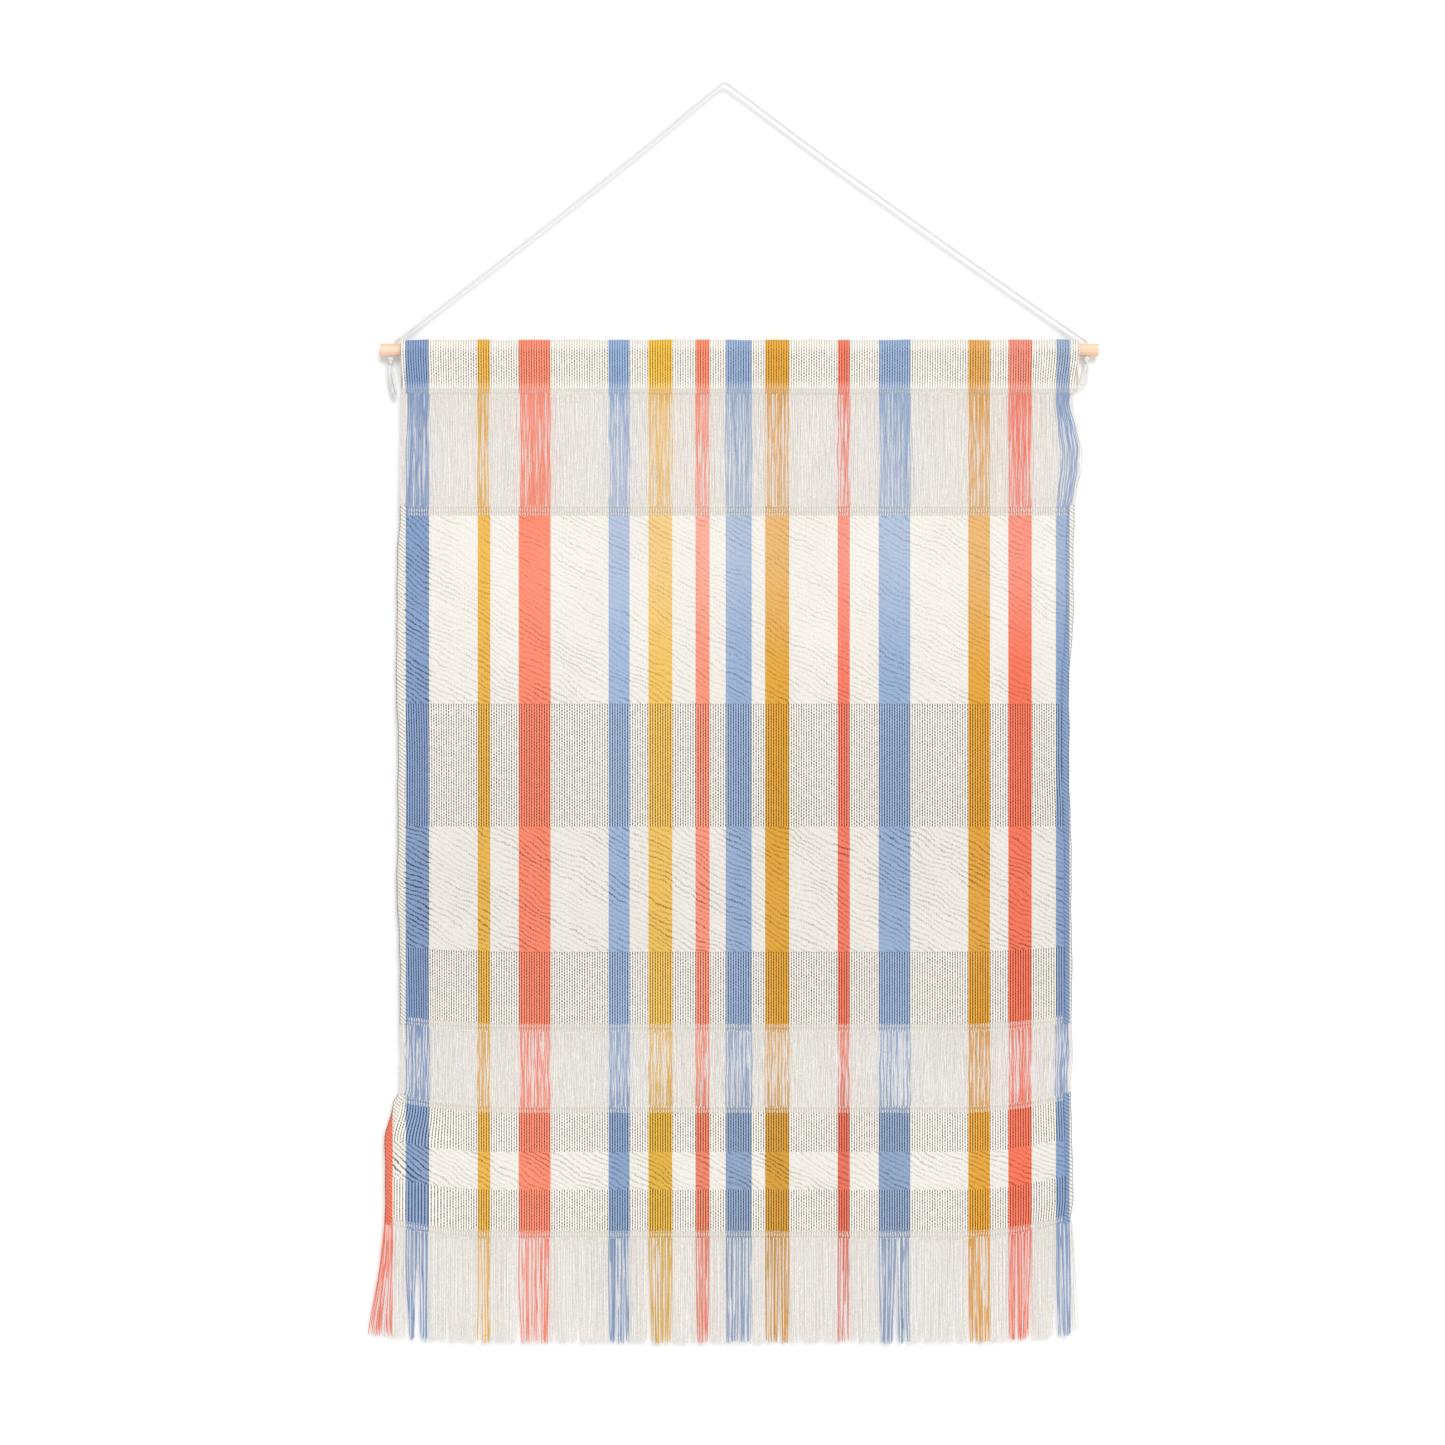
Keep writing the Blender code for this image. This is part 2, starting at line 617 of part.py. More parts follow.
def make_fringe(group):
    """The warp ends below the hem, one node for each dyed group, of three lengths in turn."""
    across = STRIPE_START
    for number, (colour, width) in enumerate(STRIPES, start=1):
        start, stop = across + TUFT_GAP / 2, across + width - TUFT_GAP / 2
        flare = FRINGE_FLARE if number == 1 else 0.0
        across += width
        rows = rows_between(FRINGE_DEPTH, END_DEPTH - FRINGE_STEP * (number % 3), FRINGE_GAP)
        sheet(
            f"fringe_{number:02d}_{colour}",
            lambda d: start - flare * eased((d - FRINGE_DEPTH) / FRINGE_LENGTH),
            lambda d: stop,
            rows,
            3,
            FRINGE_THICKNESS,
            "warp" if colour == "cream" else colour,
            group,
            line=fringe_line,
        )


def main():
    for obj in list(bpy.data.objects):
        bpy.data.objects.remove(obj, do_unlink=True)
    group = bpy.data.collections.new("tapestry_wall_hanging")
    cutters = bpy.data.collections.new("cutters")
    bpy.context.scene.collection.children.link(group)
    bpy.context.scene.collection.children.link(cutters)
    make_cord(group)
    dowel = make_dowel(group, cutters)
    left_knot = make_knot("left", group)
    right_knot = make_knot("right", group)
    left_tail = make_frayed_tail(group)
    make_loop_tail(group)
    make_pocket(group)
    make_seam(group)
    make_warp(group)
    make_block("middle", MIDDLE_BLOCK, group)
    make_block("bottom", BOTTOM_BLOCK, group)
    make_fringe(group)
    bpy.context.view_layer.update()
    for obj in (dowel, left_knot, right_knot, left_tail):
        shade_smooth(obj)


main()
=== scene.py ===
import math

import bpy
import numpy as np
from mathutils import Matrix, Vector


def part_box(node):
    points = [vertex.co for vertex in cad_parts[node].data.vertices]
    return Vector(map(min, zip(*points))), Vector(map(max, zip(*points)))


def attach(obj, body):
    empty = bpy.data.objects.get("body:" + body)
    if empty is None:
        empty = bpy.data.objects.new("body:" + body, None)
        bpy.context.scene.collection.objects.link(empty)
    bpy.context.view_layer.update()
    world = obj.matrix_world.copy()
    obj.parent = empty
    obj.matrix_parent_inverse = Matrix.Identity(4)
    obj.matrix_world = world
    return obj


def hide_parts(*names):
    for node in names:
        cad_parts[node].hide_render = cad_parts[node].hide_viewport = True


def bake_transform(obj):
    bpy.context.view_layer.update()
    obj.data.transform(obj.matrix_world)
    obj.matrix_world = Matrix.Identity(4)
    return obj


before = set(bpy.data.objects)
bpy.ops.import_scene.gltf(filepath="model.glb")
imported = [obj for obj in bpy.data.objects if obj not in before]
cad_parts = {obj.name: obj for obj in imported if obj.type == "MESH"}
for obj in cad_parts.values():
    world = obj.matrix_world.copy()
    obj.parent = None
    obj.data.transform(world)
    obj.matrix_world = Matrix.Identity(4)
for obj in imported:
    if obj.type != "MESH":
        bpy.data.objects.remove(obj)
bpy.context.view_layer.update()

mm = 0.001

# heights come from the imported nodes; depth is counted down from the dowel's axis, in millimetres
dowelLow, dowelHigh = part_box("dowel")
axisZ = (dowelLow[2] + dowelHigh[2]) / 2
dowelRadius = (dowelHigh[2] - dowelLow[2]) / 2


def depthOf(z):
    return (axisZ - z) / mm


def topOf(node):
    return depthOf(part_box(node)[1][2])


def bottomOf(node):
    return depthOf(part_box(node)[0][2])


# camera

cameraLook = {"distance": 6.0, "viewWidth": 1.7095, "across": -0.0024, "height": -0.7551}


def makeCamera(look):
    data = bpy.data.cameras.new("frontCamera")
    data.sensor_width = 36.0
    data.lens = data.sensor_width * look["distance"] / look["viewWidth"]
    data.clip_end = 60.0
    camera = bpy.data.objects.new("frontCamera", data)
    camera.location = (look["across"], -look["distance"], look["height"])
    camera.rotation_euler = (math.radians(90), 0.0, 0.0)
    bpy.context.scene.collection.objects.link(camera)
    bpy.context.scene.camera = camera


makeCamera(cameraLook)
print("camera placed")


# shader helpers


def addNode(tree, kind, **settings):
    made = tree.nodes.new(kind)
    for key, value in settings.items():
        setattr(made, key, value)
    return made


def feed(tree, socket, value):
    if isinstance(value, bpy.types.NodeSocket):
        tree.links.new(value, socket)
    elif value is not None:
        socket.default_value = value


def calc(tree, operation, a, b=None, c=None):
    made = addNode(tree, "ShaderNodeMath", operation=operation)
    for socket, value in zip(made.inputs, (a, b, c)):
        feed(tree, socket, value)
    return made.outputs[0]


def between(tree, value, low, high, outLow=0.0, outHigh=1.0):
    made = addNode(tree, "ShaderNodeMapRange", interpolation_type="SMOOTHSTEP")
    for socket, item in zip(made.inputs, (value, low, high, outLow, outHigh)):
        feed(tree, socket, item)
    return made.outputs[0]


def sumOf(tree, *values):
    total = values[0]
    for value in values[1:]:
        total = calc(tree, "ADD", total, value)
    return total


def productOf(tree, *values):
    total = values[0]
    for value in values[1:]:
        total = calc(tree, "MULTIPLY", total, value)
    return total


def waveOf(tree, value, length):
    return calc(tree, "SINE", calc(tree, "MULTIPLY", value, 2 * math.pi / length))


# each ramp names the value it follows, where it starts and ends, and what it gives there
def rampsOver(tree, places, ramps):
    return productOf(tree, *(between(tree, places[key], *limits) for key, *limits in ramps))


def blendColour(tree, share, a, b, mode="MIX"):
    made = addNode(tree, "ShaderNodeMix", data_type="RGBA", blend_type=mode)
    feed(tree, made.inputs[0], share)
    feed(tree, made.inputs[6], a)
    feed(tree, made.inputs[7], b)
    return made.outputs[2]


def noiseAt(tree, vector, scale, detail=2.0, roughness=0.5):
    made = addNode(tree, "ShaderNodeTexNoise")
    feed(tree, made.inputs["Vector"], vector)
    made.inputs["Scale"].default_value = scale
    made.inputs["Detail"].default_value = detail
    made.inputs["Roughness"].default_value = roughness
    return made.outputs[0]


def combine(tree, x, y, z=0.0):
    made = addNode(tree, "ShaderNodeCombineXYZ")
    for socket, value in zip(made.inputs, (x, y, z)):
        feed(tree, socket, value)
    return made.outputs[0]


# the grey multiplies the colour
def toned(tree, colour, grey):
    return blendColour(tree, 1.0, colour, combine(tree, grey, grey, grey), "MULTIPLY")


def newGroup(name, inputs, outputs):
    tree = bpy.data.node_groups.new(name, "ShaderNodeTree")
    for label in inputs:
        tree.interface.new_socket(label, in_out="INPUT", socket_type="NodeSocketFloat")
    for label, kind in outputs:
        tree.interface.new_socket(label, in_out="OUTPUT", socket_type=kind)
    return tree, addNode(tree, "NodeGroupInput"), addNode(tree, "NodeGroupOutput")


def useGroup(tree, group, **values):
    made = addNode(tree, "ShaderNodeGroup", node_tree=group)
    for key, value in values.items():
        feed(tree, made.inputs[key], value)
    return made


def linear(*shown):
    parts = [c / 255 for c in shown]
    return tuple(c / 12.92 if c <= 0.04045 else ((c + 0.055) / 1.055) ** 2.4 for c in parts)


# dyed stripes: middle across the panel and width, in millimetres, and dye; the cloth between them is undyed

stripes = {
    "cream": linear(238, 233, 225),
    "runs": (
        (-410.0, 34.8, linear(243, 121, 95)),
        (-363.3, 27.5, linear(131, 157, 197)),
        (-284.5, 14.8, linear(232, 179, 76)),
        (-224.6, 37.6, linear(250, 136, 107)),
        (-124.7, 24.8, linear(147, 174, 212)),
        (-75.9, 28.0, linear(238, 188, 66)),
        (-26.0, 16.5, linear(250, 139, 107)),
        (16.8, 30.7, linear(149, 173, 207)),
        (62.3, 28.4, linear(226, 165, 56)),
        (141.0, 14.3, linear(244, 122, 96)),
        (201.0, 37.4, linear(151, 175, 209)),
        (301.1, 25.6, linear(226, 162, 52)),
        (349.5, 27.6, linear(245, 117, 87)),
        (400.0, 16.0, linear(137, 163, 200)),
    ),
    "edge": 0.7,
    "wander": 4.0,
    # the dye is a little paler over the upper right, at the pocket's right and down the middle of the upper part
    "fades": (
        (("down", 400.0, 230.0), ("down", 60.0, 190.0), ("across", -230.0, -120.0, 0.0, 0.17)),
        (("across", 270.0, 320.0), ("down", 40.0, 60.0, 0.16, 0.0)),
        (
            ("across", -200.0, -140.0), ("across", 20.0, -12.0), ("down", 52.0, 80.0, 0.0, 0.08),
            ("down", 830.0, 900.0, 1.0, 0.0),
        ),
        (("tone", 0.35, 0.75, 0.0, 0.03),),
    ),
    # and deeper in the middle of the bottom block
    "deeper": (("across", -170.0, -140.0), ("across", 230.0, 270.0, 1.0, 0.0), ("down", 830.0, 900.0, 0.0, -0.13)),
    # the cloth is darker from 220 to 600 mm down, lighter again from 700 to 900 mm down, and a little darker where the
    # random tone is low
    "upperShade": ("down", 220.0, 600.0, 1.0, 0.905),
    "lowerShade": (("down", 700.0, 900.0, 1.0, 1.05), ("tone", 0.25, 0.7, 0.965, 1.0)),
}


def makeStripeDye():
    tree, into, out = newGroup(
        "stripeDye", ("Across", "Down", "Ragged"), [("Colour", "NodeSocketColor"), ("Dyed", "NodeSocketFloat")]
    )
    across, down = into.outputs["Across"], into.outputs["Down"]
    wander = noiseAt(tree, combine(tree, across, down), 0.9, 1.0)
    offset = calc(tree, "MULTIPLY", calc(tree, "SUBTRACT", wander, 0.5), into.outputs["Ragged"])
    placed = calc(tree, "MULTIPLY_ADD", offset, stripes["wander"], across)
    cream = (*stripes["cream"], 1.0)
    colour, dyed = cream, 0.0
    for middle, width, dye in stripes["runs"]:
        off = calc(tree, "ABSOLUTE", calc(tree, "SUBTRACT", placed, middle))
        inside = between(tree, off, (width - stripes["edge"]) / 2, (width + stripes["edge"]) / 2, 1.0, 0.0)
        colour = blendColour(tree, inside, colour, (*dye, 1.0))
        dyed = calc(tree, "MAXIMUM", dyed, inside)
    tone = noiseAt(tree, combine(tree, across, calc(tree, "MULTIPLY", down, 0.6)), 0.011, 3.0)
    places = {"across": across, "down": down, "tone": tone}
    faded = sumOf(tree, *(rampsOver(tree, places, fade) for fade in stripes["fades"]))
    colour = blendColour(tree, calc(tree, "MULTIPLY", faded, dyed), colour, cream)
    deeper = calc(tree, "MULTIPLY", rampsOver(tree, places, stripes["deeper"]), dyed)
    shade = calc(tree, "ADD", rampsOver(tree, places, [stripes["upperShade"]]), deeper)
    shade = calc(tree, "MULTIPLY", shade, rampsOver(tree, places, stripes["lowerShade"]))
    feed(tree, out.inputs["Colour"], toned(tree, colour, shade))
    feed(tree, out.inputs["Dyed"], dyed)
    return tree


# ribs: yarns run down the cloth with a row of small openings between each two
ribs = {"pitch": 2.98, "pick": 3.5, "wander": 4.0, "jitter": 0.7, "bead": 0.25}


def makeRibHoles():
    tree, into, out = newGroup(
        "ribHoles", ("Rib", "Down"), [(label, "NodeSocketFloat") for label in ("Hole", "Groove", "Height")]
    )
    rib, down = into.outputs["Rib"], into.outputs["Down"]
    wander = noiseAt(tree, combine(tree, calc(tree, "MULTIPLY", rib, 0.5), down), 0.10, 2.0)
    ridge = calc(tree, "COSINE", calc(tree, "MULTIPLY", rib, 2 * math.pi / ribs["pitch"]))
    groove = between(tree, ridge, 0.15, -0.85)
    line = calc(tree, "FLOOR", calc(tree, "DIVIDE", rib, ribs["pitch"]))
    jitter = addNode(tree, "ShaderNodeTexWhiteNoise", noise_dimensions="1D")
    feed(tree, jitter.inputs["W"], line)
    # openings stand half a pick apart in neighbouring grooves, give or take a little
    odd = calc(tree, "MODULO", calc(tree, "ABSOLUTE", line), 2.0)
    shift = calc(tree, "MULTIPLY_ADD", odd, ribs["pick"] / 2, calc(tree, "MULTIPLY", wander, ribs["wander"]))
    shift = calc(tree, "MULTIPLY_ADD", jitter.outputs[0], ribs["jitter"], shift)
    beat = waveOf(tree, calc(tree, "ADD", down, shift), ribs["pick"])
    pick = between(tree, beat, -0.45, 0.55, 0.25, 1.0)
    patch = noiseAt(tree, combine(tree, rib, down), 0.16, 3.0)
    hole = productOf(tree, groove, pick, between(tree, patch, 0.30, 0.62, 0.45, 1.0))
    bead = calc(tree, "MULTIPLY", beat, calc(tree, "SUBTRACT", 1.0, groove))
    height = calc(tree, "SUBTRACT", calc(tree, "MULTIPLY", bead, ribs["bead"]), hole)
    for label, value in (("Hole", hole), ("Groove", groove), ("Height", height)):
        feed(tree, out.inputs[label], value)
    return tree


# twill: slanting lines, each one a row of short floats, one for every yarn that it crosses
twill = {"spacing": 6.25, "slope": 0.54, "pick": 3.02, "slowWander": 20.0, "quickWander": 4.0, "slub": 0.55}


def makeTwillLines():
    tree, into, out = newGroup(
        "twillLines", ("Across", "Down"), [(label, "NodeSocketFloat") for label in ("Line", "Height", "Slub")]
    )
    across, down = into.outputs["Across"], into.outputs["Down"]
    slow = noiseAt(tree, combine(tree, across, down), 0.022, 1.0)
    quick = noiseAt(tree, combine(tree, across, down, 5.0), 0.14, 1.0)
    run = calc(tree, "SUBTRACT", down, calc(tree, "MULTIPLY", across, twill["slope"]))
    run = calc(tree, "MULTIPLY_ADD", slow, twill["slowWander"], run)
    run = calc(tree, "MULTIPLY_ADD", quick, twill["quickWander"], run)
    step = waveOf(tree, calc(tree, "MULTIPLY_ADD", quick, 1.5, across), twill["pick"])
    patch = noiseAt(tree, combine(tree, across, down, 7.0), 0.035, 2.0)
    each = addNode(tree, "ShaderNodeTexWhiteNoise", noise_dimensions="1D")
    feed(tree, each.inputs["W"], calc(tree, "FLOOR", calc(tree, "DIVIDE", run, twill["spacing"])))
    broken = noiseAt(tree, combine(tree, calc(tree, "MULTIPLY", across, 0.5), down, 3.0), 0.33, 1.0)
    line = productOf(
        tree,
        between(tree, waveOf(tree, run, twill["spacing"]), 0.25, 0.95),
        between(tree, step, -1.0, 0.6, 0.45, 1.0),
        between(tree, broken, 0.36, 0.52, 0.4, 1.0),
        between(tree, patch, 0.34, 0.60, 0.55, 1.0),
        between(tree, each.outputs[0], 0.0, 1.0, 0.6, 1.1),
    )
    slub = noiseAt(tree, combine(tree, across, calc(tree, "MULTIPLY", down, 1.7)), 0.8, 2.0, 0.6)
    height = calc(tree, "MULTIPLY_ADD", slub, twill["slub"], calc(tree, "MULTIPLY", line, -1.0))
    for label, value in (("Line", line), ("Height", height), ("Slub", slub)):
        feed(tree, out.inputs[label], value)
    return tree


# yarn: fine twist lines round each strand, and pale streaks where the dye didn't reach
yarn = {"streakLength": 0.02, "apart": 30.0, "streakScale": 0.9, "reach": 1.3, "twist": 2.6, "twistSlope": 2.2}


def makeYarnStreaks():
    tree, into, out = newGroup(
        "yarnStreaks",
        ("Across", "Down", "Strand", "Undyed"),
        [(label, "NodeSocketFloat") for label in ("Pale", "Height", "Shade")],
    )
    across, down, strand = (into.outputs[k] for k in ("Across", "Down", "Strand"))
    spot = combine(
        tree, across, calc(tree, "MULTIPLY", down, yarn["streakLength"]), calc(tree, "MULTIPLY", strand, yarn["apart"])
    )
    slow = noiseAt(tree, spot, yarn["streakScale"], 2.0)
    pale = calc(tree, "MULTIPLY_ADD", calc(tree, "SUBTRACT", slow, 0.5), yarn["reach"], strand)
    pale = between(tree, calc(tree, "ADD", pale, into.outputs["Undyed"]), 0.90, 1.10)
    twist = waveOf(tree, calc(tree, "ADD", calc(tree, "MULTIPLY", across, yarn["twistSlope"]), down), yarn["twist"])
    spot = combine(tree, calc(tree, "MULTIPLY", across, 3.0), calc(tree, "MULTIPLY", down, 0.4), strand)
    fibre = noiseAt(tree, spot, 1.2, 2.0)
    feed(tree, out.inputs["Pale"], pale)
    feed(tree, out.inputs["Height"], calc(tree, "ADD", calc(tree, "MULTIPLY", twist, 0.4), fibre))
    feed(tree, out.inputs["Shade"], between(tree, fibre, 0.25, 0.75, 0.86, 1.05))
    return tree


stripeDye, ribHoles, twillLines, yarnStreaks = makeStripeDye(), makeRibHoles(), makeTwillLines(), makeYarnStreaks()
print("shader groups built")


def newMaterial(name, roughness, sheen=0.0):
    made = bpy.data.materials.new(name)
    made.use_nodes = True
    shader = made.node_tree.nodes["Principled BSDF"]
    shader.inputs["Roughness"].default_value = roughness
    shader.inputs["Specular IOR Level"].default_value = 0.18
    shader.inputs["Sheen Weight"].default_value = sheen
    shader.inputs["Sheen Roughness"].default_value = 0.6
    return made, made.node_tree, shader


def bumpFrom(tree, shader, height, distance):
    bump = addNode(tree, "ShaderNodeBump")
    bump.inputs["Strength"].default_value = 1.0
    bump.inputs["Distance"].default_value = distance
    feed(tree, bump.inputs["Height"], height)
    feed(tree, shader.inputs["Normal"], bump.outputs[0])


def restOf(tree):
    spot = addNode(tree, "ShaderNodeAttribute", attribute_name="rest")
    parts = addNode(tree, "ShaderNodeSeparateXYZ")
    feed(tree, parts.inputs[0], spot.outputs["Vector"])
    return parts.outputs


def darkened(tree, colour, share, floor):
    deep = blendColour(tree, 1.0, colour, (floor, floor * 0.93, floor * 0.86, 1.0), "MULTIPLY")
    return blendColour(tree, share, colour, deep)


# holeShade, grooveShade and grooveFloor set the painted shade in the openings and grooves; ridge and dyedRidge set the
# painted highlight on the ridges
ribLook = {
    "roughness": 0.9, "sheen": 0.1, "holeShade": 0.07, "grooveShade": 0.38, "dyedGroove": 1.0, "grooveFloor": 0.52,
    "ridge": 1.19, "dyedRidge": 1.26, "bump": 0.0008,
    "washColour": (0.87, 0.85, 0.81, 1.0), "wash": 0.16, "crownHoles": (-8.0, 4.0, 0.1, 1.0), "firstRowHoles": 1.2,
}


def makeRibMaterial(name, look, washFrom=None, firstRows=()):
    made, tree, shader = newMaterial(name, look["roughness"], look["sheen"])
    across, down, rib = restOf(tree)
    dye = useGroup(tree, stripeDye, Across=across, Down=down, Ragged=0.12)
    holes = useGroup(tree, ribHoles, Rib=rib, Down=down)
    colour, hole, groove = dye.outputs["Colour"], holes.outputs["Hole"], holes.outputs["Groove"]
    if washFrom:
        wash = between(tree, down, *washFrom)
        colour = blendColour(tree, calc(tree, "MULTIPLY", wash, look["wash"]), colour, look["washColour"])
        hole = productOf(tree, hole, calc(tree, "SUBTRACT", 1.0, wash), between(tree, down, *look["crownHoles"]))
    # a row of openings along the top of a band gets painted shade too
    for top in firstRows:
        off = calc(tree, "ABSOLUTE", calc(tree, "SUBTRACT", down, top + look["firstRowHoles"]))
        near = between(tree, off, 0.6, 1.2, 0.85, 0.0)
        hole = calc(tree, "MAXIMUM", hole, calc(tree, "MULTIPLY", near, groove))
    # painted shade in the grooves and openings, and a painted highlight on the ridges
    grooveShare = between(tree, dye.outputs["Dyed"], 0.0, 1.0, look["grooveShade"], look["dyedGroove"])
    colour = darkened(tree, colour, calc(tree, "MULTIPLY", groove, grooveShare), look["grooveFloor"])
    colour = darkened(tree, colour, hole, look["holeShade"])
    ridge = between(tree, dye.outputs["Dyed"], 0.0, 1.0, look["ridge"], look["dyedRidge"])
    light = between(tree, groove, 0.0, 0.6, ridge, 1.0)
    feed(tree, shader.inputs["Base Color"], toned(tree, colour, light))
    bumpFrom(tree, shader, holes.outputs["Height"], look["bump"])
    return made


twillLook = {
    "roughness": 0.88, "sheen": 0.12, "lineShade": 0.30, "cream": 0.46, "dyed": 0.9, "upper": 0.42, "bump": 0.0006,
    "firstStripe": 1.5, "firstStripeShade": 0.4, "firstStripeFrom": (-346.0, -350.0),
}


def makeTwillMaterial(name, look):
    made, tree, shader = newMaterial(name, look["roughness"], look["sheen"])
    across, down = restOf(tree)[:2]
    dye = useGroup(tree, stripeDye, Across=across, Down=down, Ragged=0.08)
    lines = useGroup(tree, twillLines, Across=across, Down=down)
    line = lines.outputs["Line"]
    # painted shade along the slanting twill lines, weaker higher up and stronger on the first stripe at the left edge
    share = productOf(
        tree,
        line,
        between(tree, dye.outputs["Dyed"], 0.0, 1.0, look["cream"], look["dyed"]),
        between(tree, down, 280.0, 520.0, look["upper"], 1.0),
    )
    colour = darkened(tree, dye.outputs["Colour"], share, look["lineShade"])
    firstStripe = between(tree, across, *look["firstStripeFrom"], 0.0, look["firstStripe"])
    colour = darkened(tree, colour, calc(tree, "MULTIPLY", line, firstStripe), look["firstStripeShade"])
    speck = between(tree, lines.outputs["Slub"], 0.35, 0.65, 0.83, 1.10)
    feed(tree, shader.inputs["Base Color"], toned(tree, colour, speck))
    bumpFrom(tree, shader, lines.outputs["Height"], look["bump"])
    return made


rowLook = {
    "roughness": 0.9, "sheen": 0.1, "wash": 0.05, "knot": 0.72, "pitch": 2.98, "rise": 5.6, "bump": 0.0006,
    "wander": 5.0, "thread": (0.86, 0.84, 0.80, 1.0), "between": 0.46, "betweenShade": 0.55,
}


def makeRowMaterial(name, look):
    made, tree, shader = newMaterial(name, look["roughness"], look["sheen"])
    across, down = restOf(tree)[:2]
    dye = useGroup(tree, stripeDye, Across=across, Down=down, Ragged=0.2)
    wander = calc(tree, "MULTIPLY", noiseAt(tree, combine(tree, across, down), 0.15, 1.0), look["wander"])
    beatAcross = calc(tree, "MULTIPLY_ADD", across, 2 * math.pi / look["pitch"], wander)
    beatDown = calc(tree, "MULTIPLY_ADD", down, 2 * math.pi / look["rise"], wander)
    knot = between(tree, calc(tree, "SINE", beatAcross), -0.6, 0.6)
    knot = calc(tree, "MULTIPLY", knot, between(tree, calc(tree, "SINE", beatDown), -1.0, -0.3, 0.3, 1.0))
    fleck = noiseAt(tree, combine(tree, across, down), 0.55, 2.0)
    share = calc(tree, "MULTIPLY_ADD", knot, look["knot"], look["wash"])
    share = calc(tree, "MULTIPLY", share, between(tree, fleck, 0.35, 0.65, 0.5, 1.1))
    colour = blendColour(tree, share, dye.outputs["Colour"], look["thread"])
    # painted shade in the gaps between the knots
    gap = calc(tree, "MULTIPLY_ADD", knot, -look["between"], look["between"])
    colour = darkened(tree, colour, gap, look["betweenShade"])
    feed(tree, shader.inputs["Base Color"], colour)
    bumpFrom(tree, shader, calc(tree, "ADD", fleck, knot), look["bump"])
    return made


edgeLook = {
    "roughness": 0.9, "sheen": 0.1, "bump": 0.0006,
    "stitch": 4.6, "slant": 0.75, "wander": 5.0, "stitchDepth": 0.72, "stitchShade": 0.42,
    "rim": 0.95, "rimShade": 0.32, "rimFrom": (0.74, 0.92),
}


def makeEdgeMaterial(name, look):
    made, tree, shader = newMaterial(name, look["roughness"], look["sheen"])
    across, down, outward = restOf(tree)
    dye = useGroup(tree, stripeDye, Across=across, Down=down, Ragged=0.1)
    run = calc(tree, "SUBTRACT", down, calc(tree, "MULTIPLY", across, look["slant"]))
    wander = noiseAt(tree, combine(tree, across, down), 0.25, 2.0)
    wandered = calc(tree, "MULTIPLY", wander, look["wander"])
    beat = calc(tree, "ADD", calc(tree, "MULTIPLY", run, 2 * math.pi / look["stitch"]), wandered)
    stitch = between(tree, calc(tree, "SINE", beat), 0.45, 1.0)
    # painted shade along the grooves between the stitch wraps
    depth = calc(tree, "MULTIPLY", stitch, look["stitchDepth"])
    colour = darkened(tree, dye.outputs["Colour"], depth, look["stitchShade"])
    # painted shadow along the outermost side of the roll
    rim = between(tree, outward, *look["rimFrom"], 0.0, look["rim"])
    colour = darkened(tree, colour, rim, look["rimShade"])
    feed(tree, shader.inputs["Base Color"], colour)
    bumpFrom(tree, shader, calc(tree, "SUBTRACT", wander, stitch), look["bump"])
    return made


yarnLook = {
    "roughness": 0.85, "sheen": 0.15, "wash": 0.05, "streak": 0.80, "white": (0.84, 0.83, 0.81, 1.0), "bump": 0.0002,
    # how much of the yarn is undyed: more lower down, less at the two sides and in the corner of the fringe
    "undyed": (
        (("down", 190.0, 800.0, 0.22, 0.38),),
        (("across", -330.0, -300.0, -0.12, 0.0), ("down", 950.0, 1060.0, 1.0, -0.6)),
        (("across", 375.0, 388.0, 0.0, -0.12),),
        (("across", -394.0, -392.0, -0.26, 0.0),),
    ),
}


def makeYarnMaterial(name, look):
    made, tree, shader = newMaterial(name, look["roughness"], look["sheen"])
    across, down, strand = restOf(tree)
    dye = useGroup(tree, stripeDye, Across=across, Down=down, Ragged=0.0)
    places = {"across": across, "down": down}
    undyed = sumOf(tree, *(rampsOver(tree, places, ramps) for ramps in look["undyed"]))
    streak = useGroup(tree, yarnStreaks, Across=across, Down=down, Strand=strand, Undyed=undyed)
    share = calc(tree, "MULTIPLY_ADD", streak.outputs["Pale"], look["streak"], look["wash"])
    colour = blendColour(tree, share, dye.outputs["Colour"], look["white"])
    feed(tree, shader.inputs["Base Color"], toned(tree, colour, streak.outputs["Shade"]))
    bumpFrom(tree, shader, streak.outputs["Height"], look["bump"])
    return made


cordLook = {
    "roughness": 0.8, "sheen": 0.25, "colour": (0.97, 0.97, 0.96, 1.0), "layShade": (0.58, 0.58, 0.59, 1.0),
    "twistSlope": 1.1, "twist": 0.9, "bump": 0.0002,
}


def makeCordMaterial(name, look):
    made, tree, shader = newMaterial(name, look["roughness"], look["sheen"])
    around, along, strand = restOf(tree)
    run = calc(tree, "ADD", calc(tree, "MULTIPLY", around, look["twistSlope"]), along)
    spot = combine(tree, calc(tree, "MULTIPLY", run, 2.0), calc(tree, "MULTIPLY", around, 1.5), strand)
    fibre = noiseAt(tree, spot, 1.4, 3.0)
    lay = waveOf(tree, run, look["twist"])
    # the cord is darker where the fibre noise and the lay wave fall low: partly fibre tone, partly painted shade in the
    # grooves between the strands
    share = between(tree, calc(tree, "ADD", fibre, calc(tree, "MULTIPLY", lay, 0.12)), 0.30, 0.54)
    feed(tree, shader.inputs["Base Color"], blendColour(tree, share, look["layShade"], look["colour"]))
    bumpFrom(tree, shader, calc(tree, "ADD", fibre, calc(tree, "MULTIPLY", lay, 0.3)), look["bump"])
    return made


woodLook = {
    "pale": linear(252, 222, 197),
    "warm": linear(244, 199, 164),
    "line": linear(222, 166, 126),
    "roughness": 0.5,
    "grain": (18.0, 420.0, 420.0),
    "pore": (120.0, 2600.0, 2600.0),
    "poreDepth": 0.45,
}


